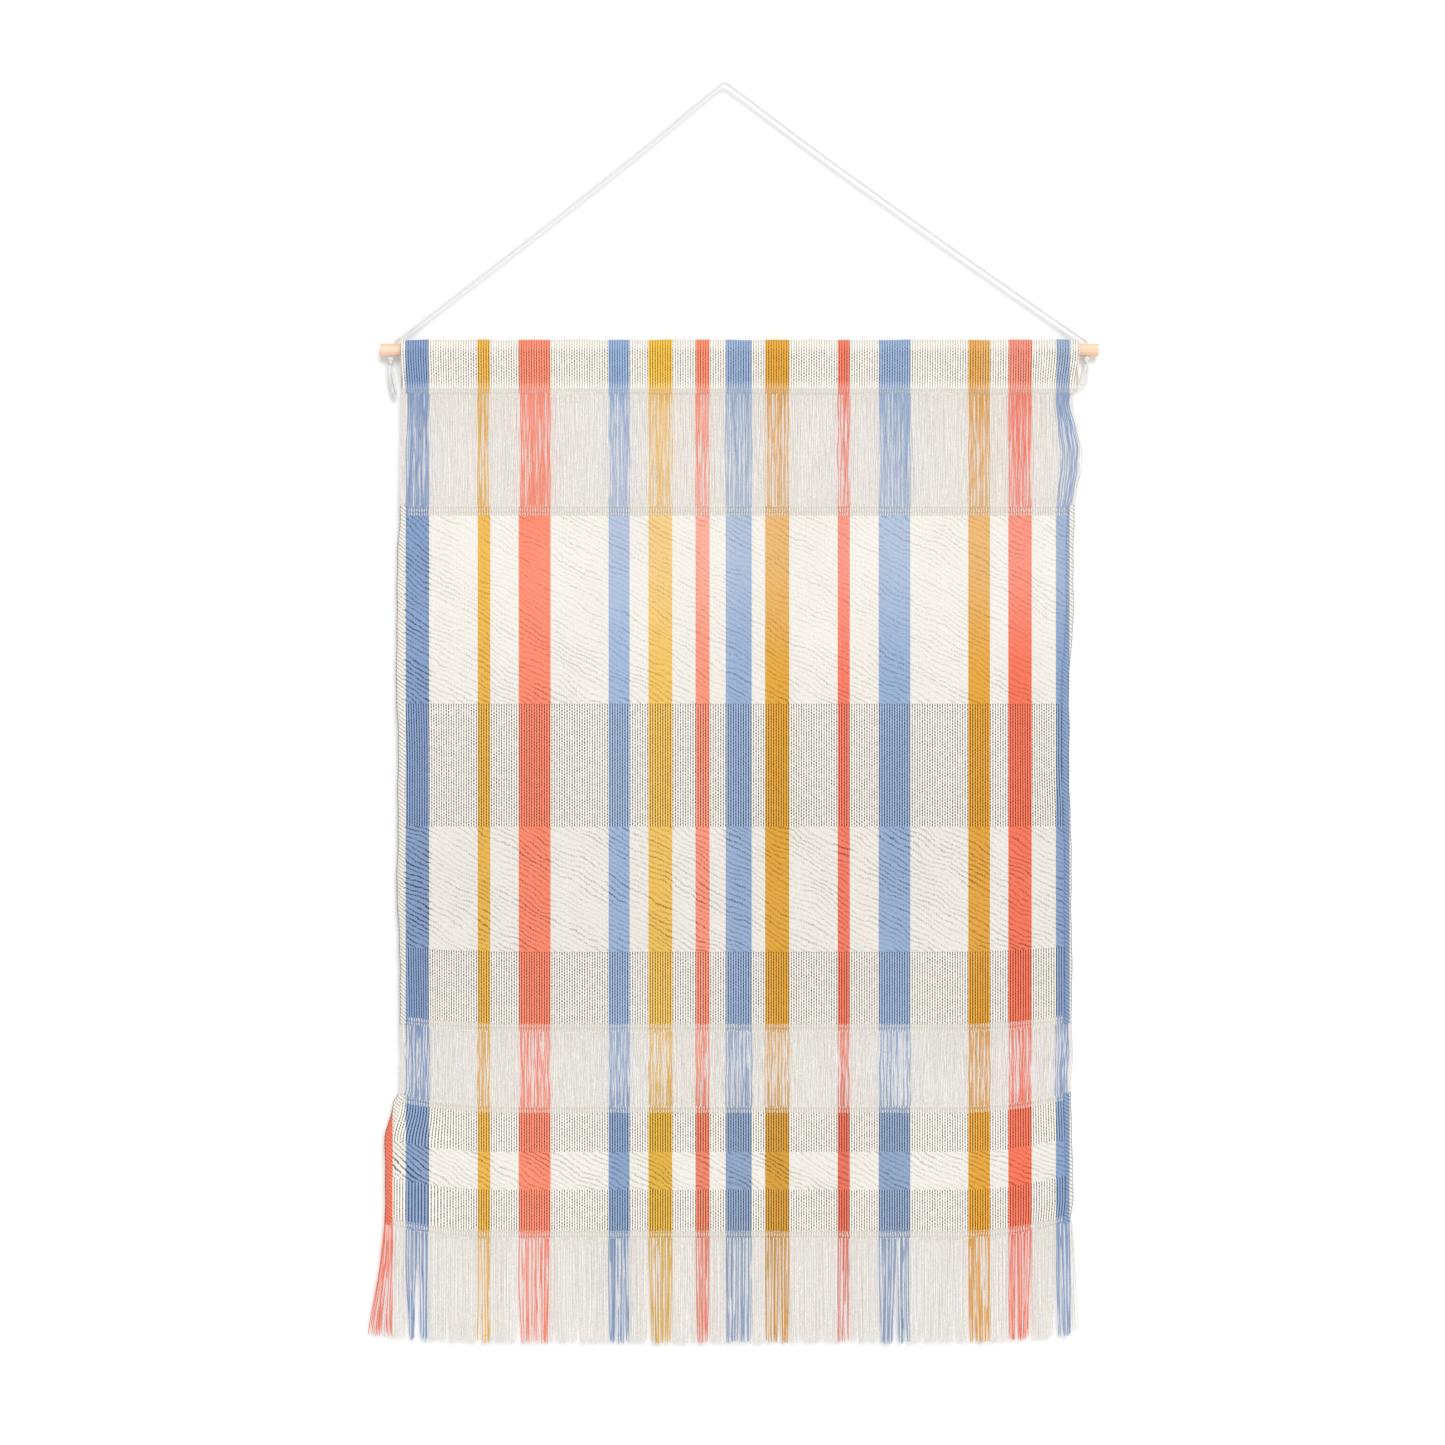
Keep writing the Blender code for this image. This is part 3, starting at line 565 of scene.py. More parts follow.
def makeWoodMaterial(name, look):
    made, tree, shader = newMaterial(name, look["roughness"])
    spot = addNode(tree, "ShaderNodeTexCoord").outputs["Object"]

    def stretched(scale):
        mapping = addNode(tree, "ShaderNodeMapping")
        mapping.inputs["Scale"].default_value = scale
        feed(tree, mapping.inputs[0], spot)
        return mapping.outputs[0]

    grain = noiseAt(tree, stretched(look["grain"]), 1.0, 4.0, 0.6)
    pore = noiseAt(tree, stretched(look["pore"]), 1.0, 2.0)
    colour = blendColour(tree, between(tree, grain, 0.35, 0.68), (*look["pale"], 1.0), (*look["warm"], 1.0))
    mark = calc(tree, "MULTIPLY", between(tree, pore, 0.60, 0.74), look["poreDepth"])
    colour = blendColour(tree, mark, colour, (*look["line"], 1.0))
    feed(tree, shader.inputs["Base Color"], colour)
    feed(tree, shader.inputs["Roughness"], between(tree, grain, 0.3, 0.7, 0.42, 0.6))
    bumpFrom(tree, shader, calc(tree, "SUBTRACT", grain, calc(tree, "MULTIPLY", pore, 0.5)), 0.0002)
    return made


# the pocket's ribs are shallower, so their grooves and openings get lighter painted shade and their ridges a slightly
# different painted highlight, and its last rows are paler with no openings
pocketLook = {**ribLook, "holeShade": 0.14, "grooveShade": 0.25, "dyedGroove": 0.6, "ridge": 1.2, "dyedRidge": 1.24}
seamLook = {**rowLook, "knot": 0.26, "wash": 0.14, "rise": 3.1}

ribCloth = makeRibMaterial("ribCloth", ribLook, firstRows=(topOf("upper_rib_band"), bottomOf("middle_twill_band")))
pocketCloth = makeRibMaterial("pocketCloth", pocketLook, washFrom=(34.0, 46.0))
twillCloth = makeTwillMaterial("twillCloth", twillLook)
rowCloth = makeRowMaterial("rowCloth", rowLook)
seamCloth = makeRowMaterial("seamCloth", seamLook)
edgeCloth = makeEdgeMaterial("edgeCloth", edgeLook)
looseYarn = makeYarnMaterial("looseYarn", yarnLook)
cordCotton = makeCordMaterial("cordCotton", cordLook)
dowelWood = makeWoodMaterial("dowelWood", woodLook)
print("materials built")


# mesh helpers


def smoothCurve(points, count):
    knots = [Vector(p) for p in points]
    knots = [knots[0] * 2 - knots[1], *knots, knots[-1] * 2 - knots[-2]]
    fine = []
    # uneven points are spaced by the root of their distance, so that the curve can't loop back beside a short step
    for a, b, c, d in zip(knots, knots[1:], knots[2:], knots[3:]):
        atB = math.sqrt((b - a).length)
        atC = atB + math.sqrt((c - b).length)
        atD = atC + math.sqrt((d - c).length)
        for t in np.linspace(atB, atC, 40, endpoint=False):
            ab = a + (b - a) * (t / atB)
            bc = b + (c - b) * ((t - atB) / (atC - atB))
            cd = c + (d - c) * ((t - atC) / (atD - atC))
            abc = ab + (bc - ab) * (t / atC)
            bcd = bc + (cd - bc) * ((t - atB) / (atD - atB))
            fine.append(abc + (bcd - abc) * ((t - atB) / (atC - atB)))
    fine.append(knots[-2])
    fine = np.array([tuple(p) for p in fine])
    along = alongOf(fine)
    spots = np.linspace(0.0, along[-1], count)
    return np.stack([np.interp(spots, along, fine[:, k]) for k in range(3)], 1), along[-1]


def alongOf(line):
    return np.concatenate([[0.0], np.cumsum(np.linalg.norm(np.diff(line, axis=0), axis=1))])


# across, out and depth below the dowel's axis, in millimetres, become places in the frame
def placedAt(across, y, depth):
    grid = np.stack([across, y, -depth], 2) * mm
    grid[:, :, 2] += axisZ
    return grid


# what the materials read at each point: place across, place down, and a third value of their own
def restFrom(across, down, third):
    shape = np.broadcast_shapes(np.shape(across), np.shape(down), np.shape(third))
    return np.stack([np.broadcast_to(part, shape) for part in (across, down, third)], 2)


def meshObject(name, verts, faces, rest, uv, material):
    mesh = bpy.data.meshes.new(name)
    mesh.vertices.add(len(verts))
    mesh.vertices.foreach_set("co", np.asarray(verts, np.float32).ravel())
    faces = np.asarray(faces, np.int32)
    mesh.loops.add(faces.size)
    mesh.loops.foreach_set("vertex_index", faces.ravel())
    mesh.polygons.add(len(faces))
    mesh.polygons.foreach_set("loop_start", np.arange(0, faces.size, faces.shape[1], dtype=np.int32))
    mesh.update(calc_edges=True)
    spot = mesh.attributes.new("rest", "FLOAT_VECTOR", "POINT")
    spot.data.foreach_set("vector", np.asarray(rest, np.float32).ravel())
    layer = mesh.uv_layers.new(name="OFBake")
    layer.data.foreach_set("uv", np.asarray(uv, np.float32).reshape(-1, 2).ravel())
    mesh.shade_smooth()
    mesh.materials.append(material)
    obj = bpy.data.objects.new(name, mesh)
    bpy.context.scene.collection.objects.link(obj)
    return obj


# a grid of points, rows by columns, becomes one layer of cloth whose front faces the viewer
def clothFrom(name, grid, rest, material):
    rows, columns = grid.shape[:2]
    index = np.arange(rows * columns).reshape(rows, columns)
    a, b = index[:-1, :-1].ravel(), index[:-1, 1:].ravel()
    c, d = index[1:, 1:].ravel(), index[1:, :-1].ravel()
    faces = np.stack([a, d, c, b], 1)
    u = np.tile(np.linspace(0.002, 0.998, columns), (rows, 1)).ravel()
    v = np.tile(np.linspace(0.998, 0.002, rows)[:, None], (1, columns)).ravel()
    uv = np.stack([u[faces], v[faces]], 2)
    return meshObject(name, grid.reshape(-1, 3), faces, rest.reshape(-1, 3), uv, material)


# many strands at once: paths is strands by rings by three, radii is strands by rings
def strandsFrom(name, paths, radii, rest, material, sides=5):
    count, rings = paths.shape[:2]
    ahead = np.gradient(paths, axis=1)
    ahead /= np.linalg.norm(ahead, axis=2, keepdims=True) + 1e-12
    lead = np.array([0.0, -1.0, 0.0])
    side = np.cross(ahead, lead)
    side /= np.linalg.norm(side, axis=2, keepdims=True) + 1e-12
    front = np.cross(side, ahead)
    turn = np.linspace(0, 2 * np.pi, sides, endpoint=False)
    cosine, sine = np.cos(turn)[None, None, :, None], np.sin(turn)[None, None, :, None]
    ring = side[:, :, None, :] * cosine + front[:, :, None, :] * sine
    verts = paths[:, :, None, :] + ring * radii[:, :, None, None]
    index = np.arange(count * rings * sides).reshape(count, rings, sides)
    nextSide = np.roll(index, -1, axis=2)
    quads = np.stack([index[:, :-1], nextSide[:, :-1], nextSide[:, 1:], index[:, 1:]], -1).reshape(-1, 4)
    restAll = np.repeat(rest[:, :, None, :], sides, axis=2)
    # each strand gets its own upright strip of the map
    strip = (np.arange(count)[:, None, None] + (np.arange(sides + 1)[None, None, :] + 0.5) / (sides + 2)) / count
    rise = np.linspace(0.998, 0.002, rings)[None, :, None]
    u = np.broadcast_to(strip, (count, rings, sides + 1))
    v = np.broadcast_to(rise, (count, rings, sides + 1))
    corners = [(u[:, rows, cols], v[:, rows, cols]) for rows, cols in (
        (slice(None, -1), slice(None, -1)), (slice(None, -1), slice(1, None)),
        (slice(1, None), slice(1, None)), (slice(1, None), slice(None, -1)),
    )]
    uvQuads = np.stack([np.stack(pair, -1) for pair in corners], 3).reshape(-1, 2)
    return meshObject(name, verts.reshape(-1, 3), quads, restAll.reshape(-1, 3), uvQuads, material)


# outline of the panel, in millimetres

outline = {
    "left": (
        (45.5, -381.2), (51.5, -381.5), (118, -383.4), (190, -384.2), (249, -386.6), (300, -388.0), (400, -388.0),
        (485, -386.2), (556, -386.4), (627, -388.0), (700, -385.0), (800, -383.6), (888, -383.6), (905, -392.0),
        (948, -401.5), (1051, -402.0),
    ),
    "right": (
        (45.5, 414.5), (60, 411.8), (95, 419.0), (118, 423.2), (142, 422.4), (165, 417.6), (190, 413.6), (300, 412.6),
        (414, 407.4), (485, 407.4), (556, 409.4), (640, 410.6), (793, 410.8), (840, 411.8), (888, 409.6), (960, 411.6),
        (1020, 412.0), (1051, 409.5),
    ),
    "leftLift": 17.0,
    "rightLift": 20.0,
    "reach": 135.0,
    "liftFrom": 484.0,
    "liftTo": 1051.5,
}


def eased(t):
    t = np.clip(t, 0.0, 1.0)
    return t * t * (3 - 2 * t)


def edgeAt(stations, depth):
    depths = np.array([s[0] for s in stations], float)
    spots = np.array([s[1] for s in stations], float)
    depth = np.clip(np.asarray(depth, float), depths[0], depths[-1])
    k = np.clip(np.searchsorted(depths, depth, side="right") - 1, 0, len(depths) - 2)
    return spots[k] + (spots[k + 1] - spots[k]) * eased((depth - depths[k]) / (depths[k + 1] - depths[k]))


def lifted(depth, across):
    share = eased((depth - outline["liftFrom"]) / (outline["liftTo"] - outline["liftFrom"]))
    fromLeft = np.clip(1 - (across - edgeAt(outline["left"], depth)) / outline["reach"], 0, 1)
    fromRight = np.clip(1 - (edgeAt(outline["right"], depth) - across) / outline["reach"], 0, 1)
    return depth - share * (outline["leftLift"] * fromLeft**2 + outline["rightLift"] * fromRight**2)


# rib columns stand still across the middle of the panel and crowd or spread near its edges
def columnsAt(nominal, left, right, low, high, reach=70.0):
    toLeft = eased(1 - (nominal - low) / reach)
    toRight = eased(1 - (high - nominal) / reach)
    return nominal[None, :] + (left - low)[:, None] * toLeft[None, :] + (right - high)[:, None] * toRight[None, :]


def waviness(across, down, amount, seed):
    return amount * (
        np.sin(across * 0.013 + seed) * np.sin(down * 0.011 + seed * 1.7)
        + 0.6 * np.sin(across * 0.031 + down * 0.017 + seed * 2.3)
        + 0.35 * np.sin(across * 0.071 - down * 0.043 + seed * 0.7)
    )


clothY = -1.2
bands = {
    "left": -388.0, "right": 410.0, "inset": 7.5, "wave": 0.55, "seed": 1.3,
    "ribStep": 4, "ribRow": 3.5, "ribHeight": 0.75, "ribFade": 2.0,
    "twillStep": 1.6, "twillHeight": 0.16, "twillRise": 0.2,
    "rowStep": 0.95, "rowHeight": 0.8, "rowLength": 3.0,
}


# spots across the cloth, a few to each rib, with the two ends as well
def ribColumns(low, high):
    step = ribs["pitch"] / bands["ribStep"]
    return np.concatenate([[low], np.arange(math.ceil(low / step), int(high / step) + 1) * step, [high]])


def crowns(nominal, sharpness):
    return (0.5 + 0.5 * np.cos(2 * np.pi * nominal / ribs["pitch"])) ** sharpness


def bandObject(name, node, top, bottom, kind, body):
    inset, long = bands["inset"], bottom - top
    low, high = bands["left"] + inset, bands["right"] - inset
    if kind == "twill":
        nominal = np.linspace(low, high, round((high - low) / bands["twillStep"]))
        rows = round(long / bands["twillStep"]) + 1
    elif kind == "rib":
        nominal, rows = ribColumns(low, high), max(3, round(long / bands["ribRow"]) + 1)
    else:
        nominal, rows = ribColumns(low, high), max(6, round(long / bands["rowStep"]))
    down = np.linspace(top, bottom, rows)
    left, right = edgeAt(outline["left"], down) + inset, edgeAt(outline["right"], down) - inset
    across = columnsAt(nominal, left, right, low, high)
    depth = lifted(down[:, None], across)
    y = np.full(across.shape, clothY) + waviness(across, depth, bands["wave"], bands["seed"])
    if kind == "twill":
        run = down[:, None] - across * twill["slope"]
        slant = np.sin(run * 2 * np.pi / twill["spacing"] + 1.5 * np.sin(across * 0.05))
        y -= bands["twillHeight"] * slant + bands["twillRise"]
    elif kind == "rib":
        fade = eased((down - top) / bands["ribFade"]) * eased((bottom - down) / bands["ribFade"])
        y -= bands["ribHeight"] * crowns(nominal, 0.8)[None, :] * (0.25 + 0.75 * fade)[:, None]
    else:
        knots = np.abs(np.sin(np.pi * (down - top) / long * round(long / bands["rowLength"])))
        y -= bands["rowHeight"] * crowns(nominal, 0.6)[None, :] * (0.6 + 0.4 * knots)[:, None]
    rest = restFrom(across, down[:, None], nominal[None, :])
    material = {"rib": ribCloth, "twill": twillCloth, "row": rowCloth}[kind]
    obj = clothFrom(name, placedAt(across, y, depth), rest, material)
    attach(obj, body)
    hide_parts(node)
    return obj


# the depth of each border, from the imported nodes: a band's middle stretch isn't lifted

depths = {
    "seam": topOf("pocket_seam") - 0.4,
    "upperWarp": bottomOf("pocket_seam") + 0.4,
    "header": topOf("upper_header_row") - 0.2,
    "upperTwill": topOf("upper_twill_band") - 0.2,
    "upperRib": topOf("upper_rib_band") - 0.2,
    "middleTwill": bottomOf("upper_rib_band") + 0.2,
    "middleRib": bottomOf("middle_twill_band") + 0.2,
    "lock": bottomOf("middle_rib_band") + 0.2,
    "lowerWarp": bottomOf("middle_lock_row") + 0.2,
    "lowerHeader": bottomOf("lower_warp_bottom") + 0.4,
    "lowerRib": bottomOf("lower_header_row") + 0.2,
    "lowerTwill": bottomOf("lower_rib_band") + 0.2,
    "hemRib": bottomOf("lower_twill_band") + 0.2,
    "hemLock": bottomOf("hem_rib_band") + 0.2,
    "fringe": bottomOf("hem_lock_row") + 0.2,
    "end": bottomOf("fringe_06_cream"),
}
print("depths", {k: round(v, 1) for k, v in depths.items()})


# hanging cord

cordShape = {
    "radius": 2.0,
    "strandRadius": 1.08,
    "strandOffset": 0.98,
    "lay": 9.0,
    "leftEnd": (-389.0, -304.0),
    "rightEnd": (428.0, -304.0),
    "sag": 3.0,
    "shoulder": 7.0,
    "shoulderFall": 0.8,
    "nailTop": 2.0,
    "strandShift": 3.7,
}


def cordRoute(shape):
    top, shoulder = shape["nailTop"], shape["shoulder"]
    legs = []
    for endX, endZ in (shape["leftEnd"], shape["rightEnd"]):
        leg = [(endX, 0.0, endZ)]
        for share in (0.25, 0.5, 0.75):
            sag = shape["sag"] * math.sin(math.pi * share)
            leg.append((endX * (1 - share), 0.0, endZ + (top - endZ) * share - sag))
        fall = shoulder * (top - endZ) / abs(endX) * shape["shoulderFall"]
        leg.append((math.copysign(shoulder, endX), 0.0, top - fall))
        legs.append(leg)
    route = [*legs[0], (0.0, 0.0, top), *legs[1][::-1]]
    return [tuple(c * mm for c in p) for p in route]


# strands laid round a centreline: each row of the result is one strand's path
def laidStrands(centre, strands, offset, lay):
    ahead = np.gradient(centre, axis=0)
    ahead /= np.linalg.norm(ahead, axis=1, keepdims=True)
    lead = np.array([0.0, -1.0, 0.0])
    side = np.cross(ahead, lead)
    side /= np.linalg.norm(side, axis=1, keepdims=True) + 1e-12
    front = np.cross(side, ahead)
    along = alongOf(centre)
    paths = []
    for k in range(strands):
        turn = 2 * np.pi * (along / lay + k / strands)
        paths.append(centre + offset * (side * np.cos(turn)[:, None] + front * np.sin(turn)[:, None]))
    return np.array(paths), along


def twistedCord(name, centre, strandRadius, offset, lay, strands=3, sides=7):
    paths, along = laidStrands(centre, strands, offset, lay)
    radii = np.full(paths.shape[:2], strandRadius)
    rest = np.zeros((*paths.shape[:2], 3))
    rest[:, :, 1] = along[None, :] / mm
    rest[:, :, 2] = np.arange(strands)[:, None] * cordShape["strandShift"]
    obj = strandsFrom(name, paths, radii, rest, cordCotton, sides=sides)
    spots = obj.data.attributes["rest"].data
    values = np.zeros(len(spots) * 3, np.float32)
    spots.foreach_get("vector", values)
    values = values.reshape(strands, -1, sides, 3)
    turn = np.linspace(0, 2 * np.pi, sides, endpoint=False)
    values[..., 0] = turn[None, None, :] * strandRadius / mm
    spots.foreach_set("vector", values.ravel())
    return obj


def makeCord(shape):
    centre, length = smoothCurve(cordRoute(shape), 1000)
    strandRadius, offset, lay = (shape[k] * mm for k in ("strandRadius", "strandOffset", "lay"))
    cord = twistedCord("hangingCord", centre, strandRadius, offset, lay)
    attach(cord, "hanger")
    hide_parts("hanging_cord")
    print("cord length", round(float(length), 4))


makeCord(cordShape)


# knots under the dowel, with the short stretch of cord that comes down through its hole

knotShape = {
    "turns": 1.65, "wrapRadius": 2.35, "height": 7.6, "below": 3.6, "flat": 0.85, "leftLean": 15.0,
    "startTurn": {"left": 0.3, "right": 2.4}, "strandRadius": 1.02, "strandOffset": 0.92, "lay": 8.0, "steps": 14,
}


def makeKnot(side, nodeName, shape):
    lean = math.radians(shape["leftLean"]) if side == "left" else 0.0
    end = cordShape[side + "End"]
    topX, topZ = end[0] * mm, end[1] * mm
    under = axisZ - dowelRadius

    def onHole(z):
        return topX - (topZ - z) * math.tan(lean)

    points = [(topX, 0.0, topZ + 0.6 * mm)]
    for z in np.linspace(topZ - 1.5 * mm, under - 0.2 * mm, 5):
        points.append((onHole(z), 0.0, z))
    middle = onHole(under - shape["height"] * mm / 2)
    start = under - 1.7 * mm
    for k in range(shape["steps"] + 1):
        share = k / shape["steps"]
        turn = 2 * math.pi * shape["turns"] * share + shape["startTurn"][side]
        reach = shape["wrapRadius"] * mm * math.sin(math.pi * min(1.0, 0.18 + share * 0.72))
        z = start - share * (shape["height"] - shape["below"]) * mm
        points.append((middle + reach * math.cos(turn), reach * math.sin(turn) * shape["flat"], z))
    points.append((middle, 0.0, under - (shape["height"] + 0.8) * mm))
    centre = smoothCurve(points, 150)[0]
    strandRadius, offset, lay = (shape[k] * mm for k in ("strandRadius", "strandOffset", "lay"))
    knot = twistedCord(side + "Knot", centre, strandRadius, offset, lay)
    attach(knot, "rod")
    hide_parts(nodeName)


makeKnot("left", "left_knot", knotShape)
makeKnot("right", "right_knot", knotShape)


# the left end is unlaid into loose yarns, the right end is doubled back into a loop

tailShape = {"yarns": 34, "yarnRadius": 0.42, "rings": 16, "width": 8.4, "depth": 4.2, "lean": 7.0}


def makeFrayedTail(shape):
    low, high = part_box("left_tail")
    dice = np.random.default_rng(11)
    count, rings = shape["yarns"], shape["rings"]
    length = (high[2] - low[2]) / mm
    topX = (low[0] + shape["width"] * 0.35 * mm) / mm
    share = np.linspace(0, 1, rings)[None, :]
    angle = dice.uniform(0, 2 * np.pi, (count, 1))
    reach = np.sqrt(dice.uniform(0.02, 1, (count, 1)))
    spread = 0.42 + 0.58 * eased(share / 0.5)
    ends = dice.uniform(0.86, 1.0, (count, 1))
    wobble = dice.uniform(0, 6.28, (count, 1))
    middle = topX + shape["lean"] * share * ends
    x = middle + shape["width"] / 2 * reach * np.cos(angle) * spread + 0.5 * np.sin(share * 9 + wobble) * share
    y = shape["depth"] / 2 * reach * np.sin(angle) * spread + 0.4 * np.sin(share * 7 + wobble * 2) * share
    z = np.broadcast_to(-length * share * ends, x.shape)
    paths = np.stack([x * mm, y * mm, z * mm + high[2]], 2)
    radii = shape["yarnRadius"] * mm * (1.05 - 0.45 * share**3) * np.ones((count, 1))
    rest = restFrom(x, -z, dice.uniform(0, 9, (count, 1)))
    tail = strandsFrom("leftTail", paths, radii, rest, cordCotton)
    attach(tail, "left_cord_end")
    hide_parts("left_tail")


loopShape = {
    "radius": 1.5, "upper": 2.1, "lower": 3.5, "lean": -3.5, "strandRadius": 0.82, "strandOffset": 0.72, "lay": 7.0,
}


def makeLoopTail(shape):
    low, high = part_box("right_tail")
    radius, upper, lower, lean = (shape[k] * mm for k in ("radius", "upper", "lower", "lean"))
    top, bottom = high[2] - radius - upper, low[2] + radius + lower
    middle = cordShape["rightEnd"][0] * mm
    points = []

    def addBend(x, z, bend, firstTurn, steps):
        for k in range(steps + 1):
            turn = firstTurn + math.pi * k / steps
            points.append((x + bend * math.cos(turn), 0.0, z + bend * math.sin(turn)))

    def addSide(sign, shares):
        for share in shares:
            half = upper + (lower - upper) * share
            points.append((middle + lean * share + sign * half, 0.0, top + (bottom - top) * share))

    addBend(middle, top, upper, 0.0, 6)
    addSide(-1, (0.33, 0.66))
    addBend(middle + lean, bottom, lower, math.pi, 8)
    addSide(1, (0.66, 0.33))
    points.append(points[0])
    centre, length = smoothCurve(points, 170)
    strandRadius, offset, lay = (shape[k] * mm for k in ("strandRadius", "strandOffset", "lay"))
    loop = twistedCord("rightLoop", centre, strandRadius, offset, length / round(length / lay))
    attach(loop, "right_cord_end")
    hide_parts("right_tail")


makeFrayedTail(tailShape)
makeLoopTail(loopShape)
print("cord, knots and ends made")


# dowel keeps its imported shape

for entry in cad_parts["dowel"].material_slots:
    entry.material = dowelWood


# rod pocket: front layer, fold over the dowel, back layer

pocketShape = {
    "radius": 11.9, "lip": 2.3, "rows": 13, "arcRows": 21, "left": -382.8, "right": 417.2,
    # the front's two edges at the seam, and how far each has spread at the crown
    "seamLeft": -380.6, "spreadLeft": -1.8, "seamRight": 414.5, "spreadRight": 4.7,
    "calmReach": 14.0, "endReach": 9.0,
}


def makePocket(shape):
    drop = depths["seam"]
    radius, lip = shape["radius"], shape["lip"]
    reach = math.hypot(lip, drop)
    touch = math.atan2(-drop, lip) + math.acos(radius / reach)
    line = [(-lip, -drop)]
    steps = shape["arcRows"] - 1
    arc = [math.pi - touch - (math.pi - 2 * touch) * k / steps for k in range(steps + 1)]
    foot = (radius * math.cos(arc[0]), radius * math.sin(arc[0]))
    for k in range(1, shape["rows"]):
        share = k / shape["rows"]
        line.append((-lip + (foot[0] + lip) * share, -drop + (foot[1] + drop) * share))
    line += [(radius * math.cos(a), radius * math.sin(a)) for a in arc]
    foot = line[-1]
    for k in range(1, shape["rows"] + 1):
        share = k / shape["rows"]
        line.append((foot[0] + (lip - foot[0]) * share, foot[1] + (-drop - foot[1]) * share))
    line = np.array(line)
    along = alongOf(line)
    down = drop - along
    ahead = np.gradient(line, axis=0)
    ahead /= np.linalg.norm(ahead, axis=1, keepdims=True)
    outward = np.stack([-ahead[:, 1], ahead[:, 0]], 1)
    crown = np.argmax(line[:, 1])
    low, high = shape["left"], shape["right"]
    nominal = ribColumns(low, high)
    share = np.clip(along / along[crown], 0, 1)
    left = shape["seamLeft"] + shape["spreadLeft"] * eased(share * 1.6)
    right = shape["seamRight"] + shape["spreadRight"] * eased(share * 1.5)
    right = np.where(np.arange(len(along)) <= crown, right, shape["seamRight"] + shape["spreadRight"])
    across = columnsAt(nominal, left, right, low, high)
    calm = 0.45 + 0.55 * eased(np.abs(along - along[crown]) / shape["calmReach"])
    calm *= eased(along / shape["endReach"]) * eased((along[-1] - along) / shape["endReach"])
    lift = bands["ribHeight"] * crowns(nominal, 0.8)[None, :] * calm[:, None]
    lift += 0.35 * np.sin(across * 0.045) * np.sin(along * 0.07)[:, None] + 0.25 * np.sin(across * 0.11 + 2.0)
    y = line[:, 0][:, None] + outward[:, 0][:, None] * lift
    z = line[:, 1][:, None] + outward[:, 1][:, None] * lift
    grid = placedAt(across, y, -z)
    rest = restFrom(across, down[:, None], nominal[None, :])
    # rows run upwards in front, so they're turned round to keep the front face outside
    pocket = clothFrom("rodPocket", grid[::-1], rest[::-1], pocketCloth)
    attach(pocket, "pocket")
    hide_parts("rod_pocket")


# seam: both layers pressed together, with a row of small stitches

seamShape = {"above": 2.6, "below": 1.6, "thick": 2.75, "groove": 0.45, "sides": 22, "left": -382.0, "right": 414.0}


def makeSeam(shape):
    top, bottom = depths["seam"] - shape["above"], depths["upperWarp"] + shape["below"]
    nominal = ribColumns(shape["left"], shape["right"])[1:-1]
    turn = np.linspace(0, 2 * np.pi, shape["sides"] + 1)
    # a flat oval in section, with each warp yarn standing a little proud
    thick = shape["thick"] - shape["groove"] * (1 - crowns(nominal, 1))
    y = -np.sign(np.cos(turn))[:, None] * (np.abs(np.cos(turn)) ** 0.6)[:, None] * thick[None, :]
    depth = np.broadcast_to(((top + bottom) / 2 - (bottom - top) / 2 * np.sin(turn))[:, None], y.shape)
    across = np.broadcast_to(nominal[None, :], y.shape)
    seam = clothFrom("pocketSeam", placedAt(across, y, depth), restFrom(across, depth, across), seamCloth)
    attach(seam, "pocket")
    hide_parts("pocket_seam")
    return seam


seamPiece = makeSeam(seamShape)
makePocket(pocketShape)
print("rod pocket made")


# woven bands

bandTable = (
    ("upperHeaderRow", "upper_header_row", "header", "upperTwill", "row", "middle_panel"),
    ("upperTwillBand", "upper_twill_band", "upperTwill", "upperRib", "twill", "middle_panel"),
    ("upperRibBand", "upper_rib_band", "upperRib", "middleTwill", "rib", "middle_panel"),
    ("middleTwillBand", "middle_twill_band", "middleTwill", "middleRib", "twill", "middle_panel"),
    ("middleRibBand", "middle_rib_band", "middleRib", "lock", "rib", "middle_panel"),
    ("middleLockRow", "middle_lock_row", "lock", "lowerWarp", "row", "middle_panel"),
    ("lowerHeaderRow", "lower_header_row", "lowerHeader", "lowerRib", "row", "bottom_panel"),
    ("lowerRibBand", "lower_rib_band", "lowerRib", "lowerTwill", "rib", "bottom_panel"),
    ("lowerTwillBand", "lower_twill_band", "lowerTwill", "hemRib", "twill", "bottom_panel"),
    ("hemRibBand", "hem_rib_band", "hemRib", "hemLock", "rib", "bottom_panel"),
    ("hemLockRow", "hem_lock_row", "hemLock", "fringe", "row", "bottom_panel"),
)
for name, node, top, bottom, kind, body in bandTable:
    bandObject(name, node, depths[top], depths[bottom], kind, body)
print("woven bands made")


# overcast edges: a flattened roll of cloth with thread wound over it

edgeShape = {"width": 9.0, "thick": 3.0, "sides": 14, "step": 1.5, "pitch": 4.6, "swell": 0.10, "forward": 0.2}


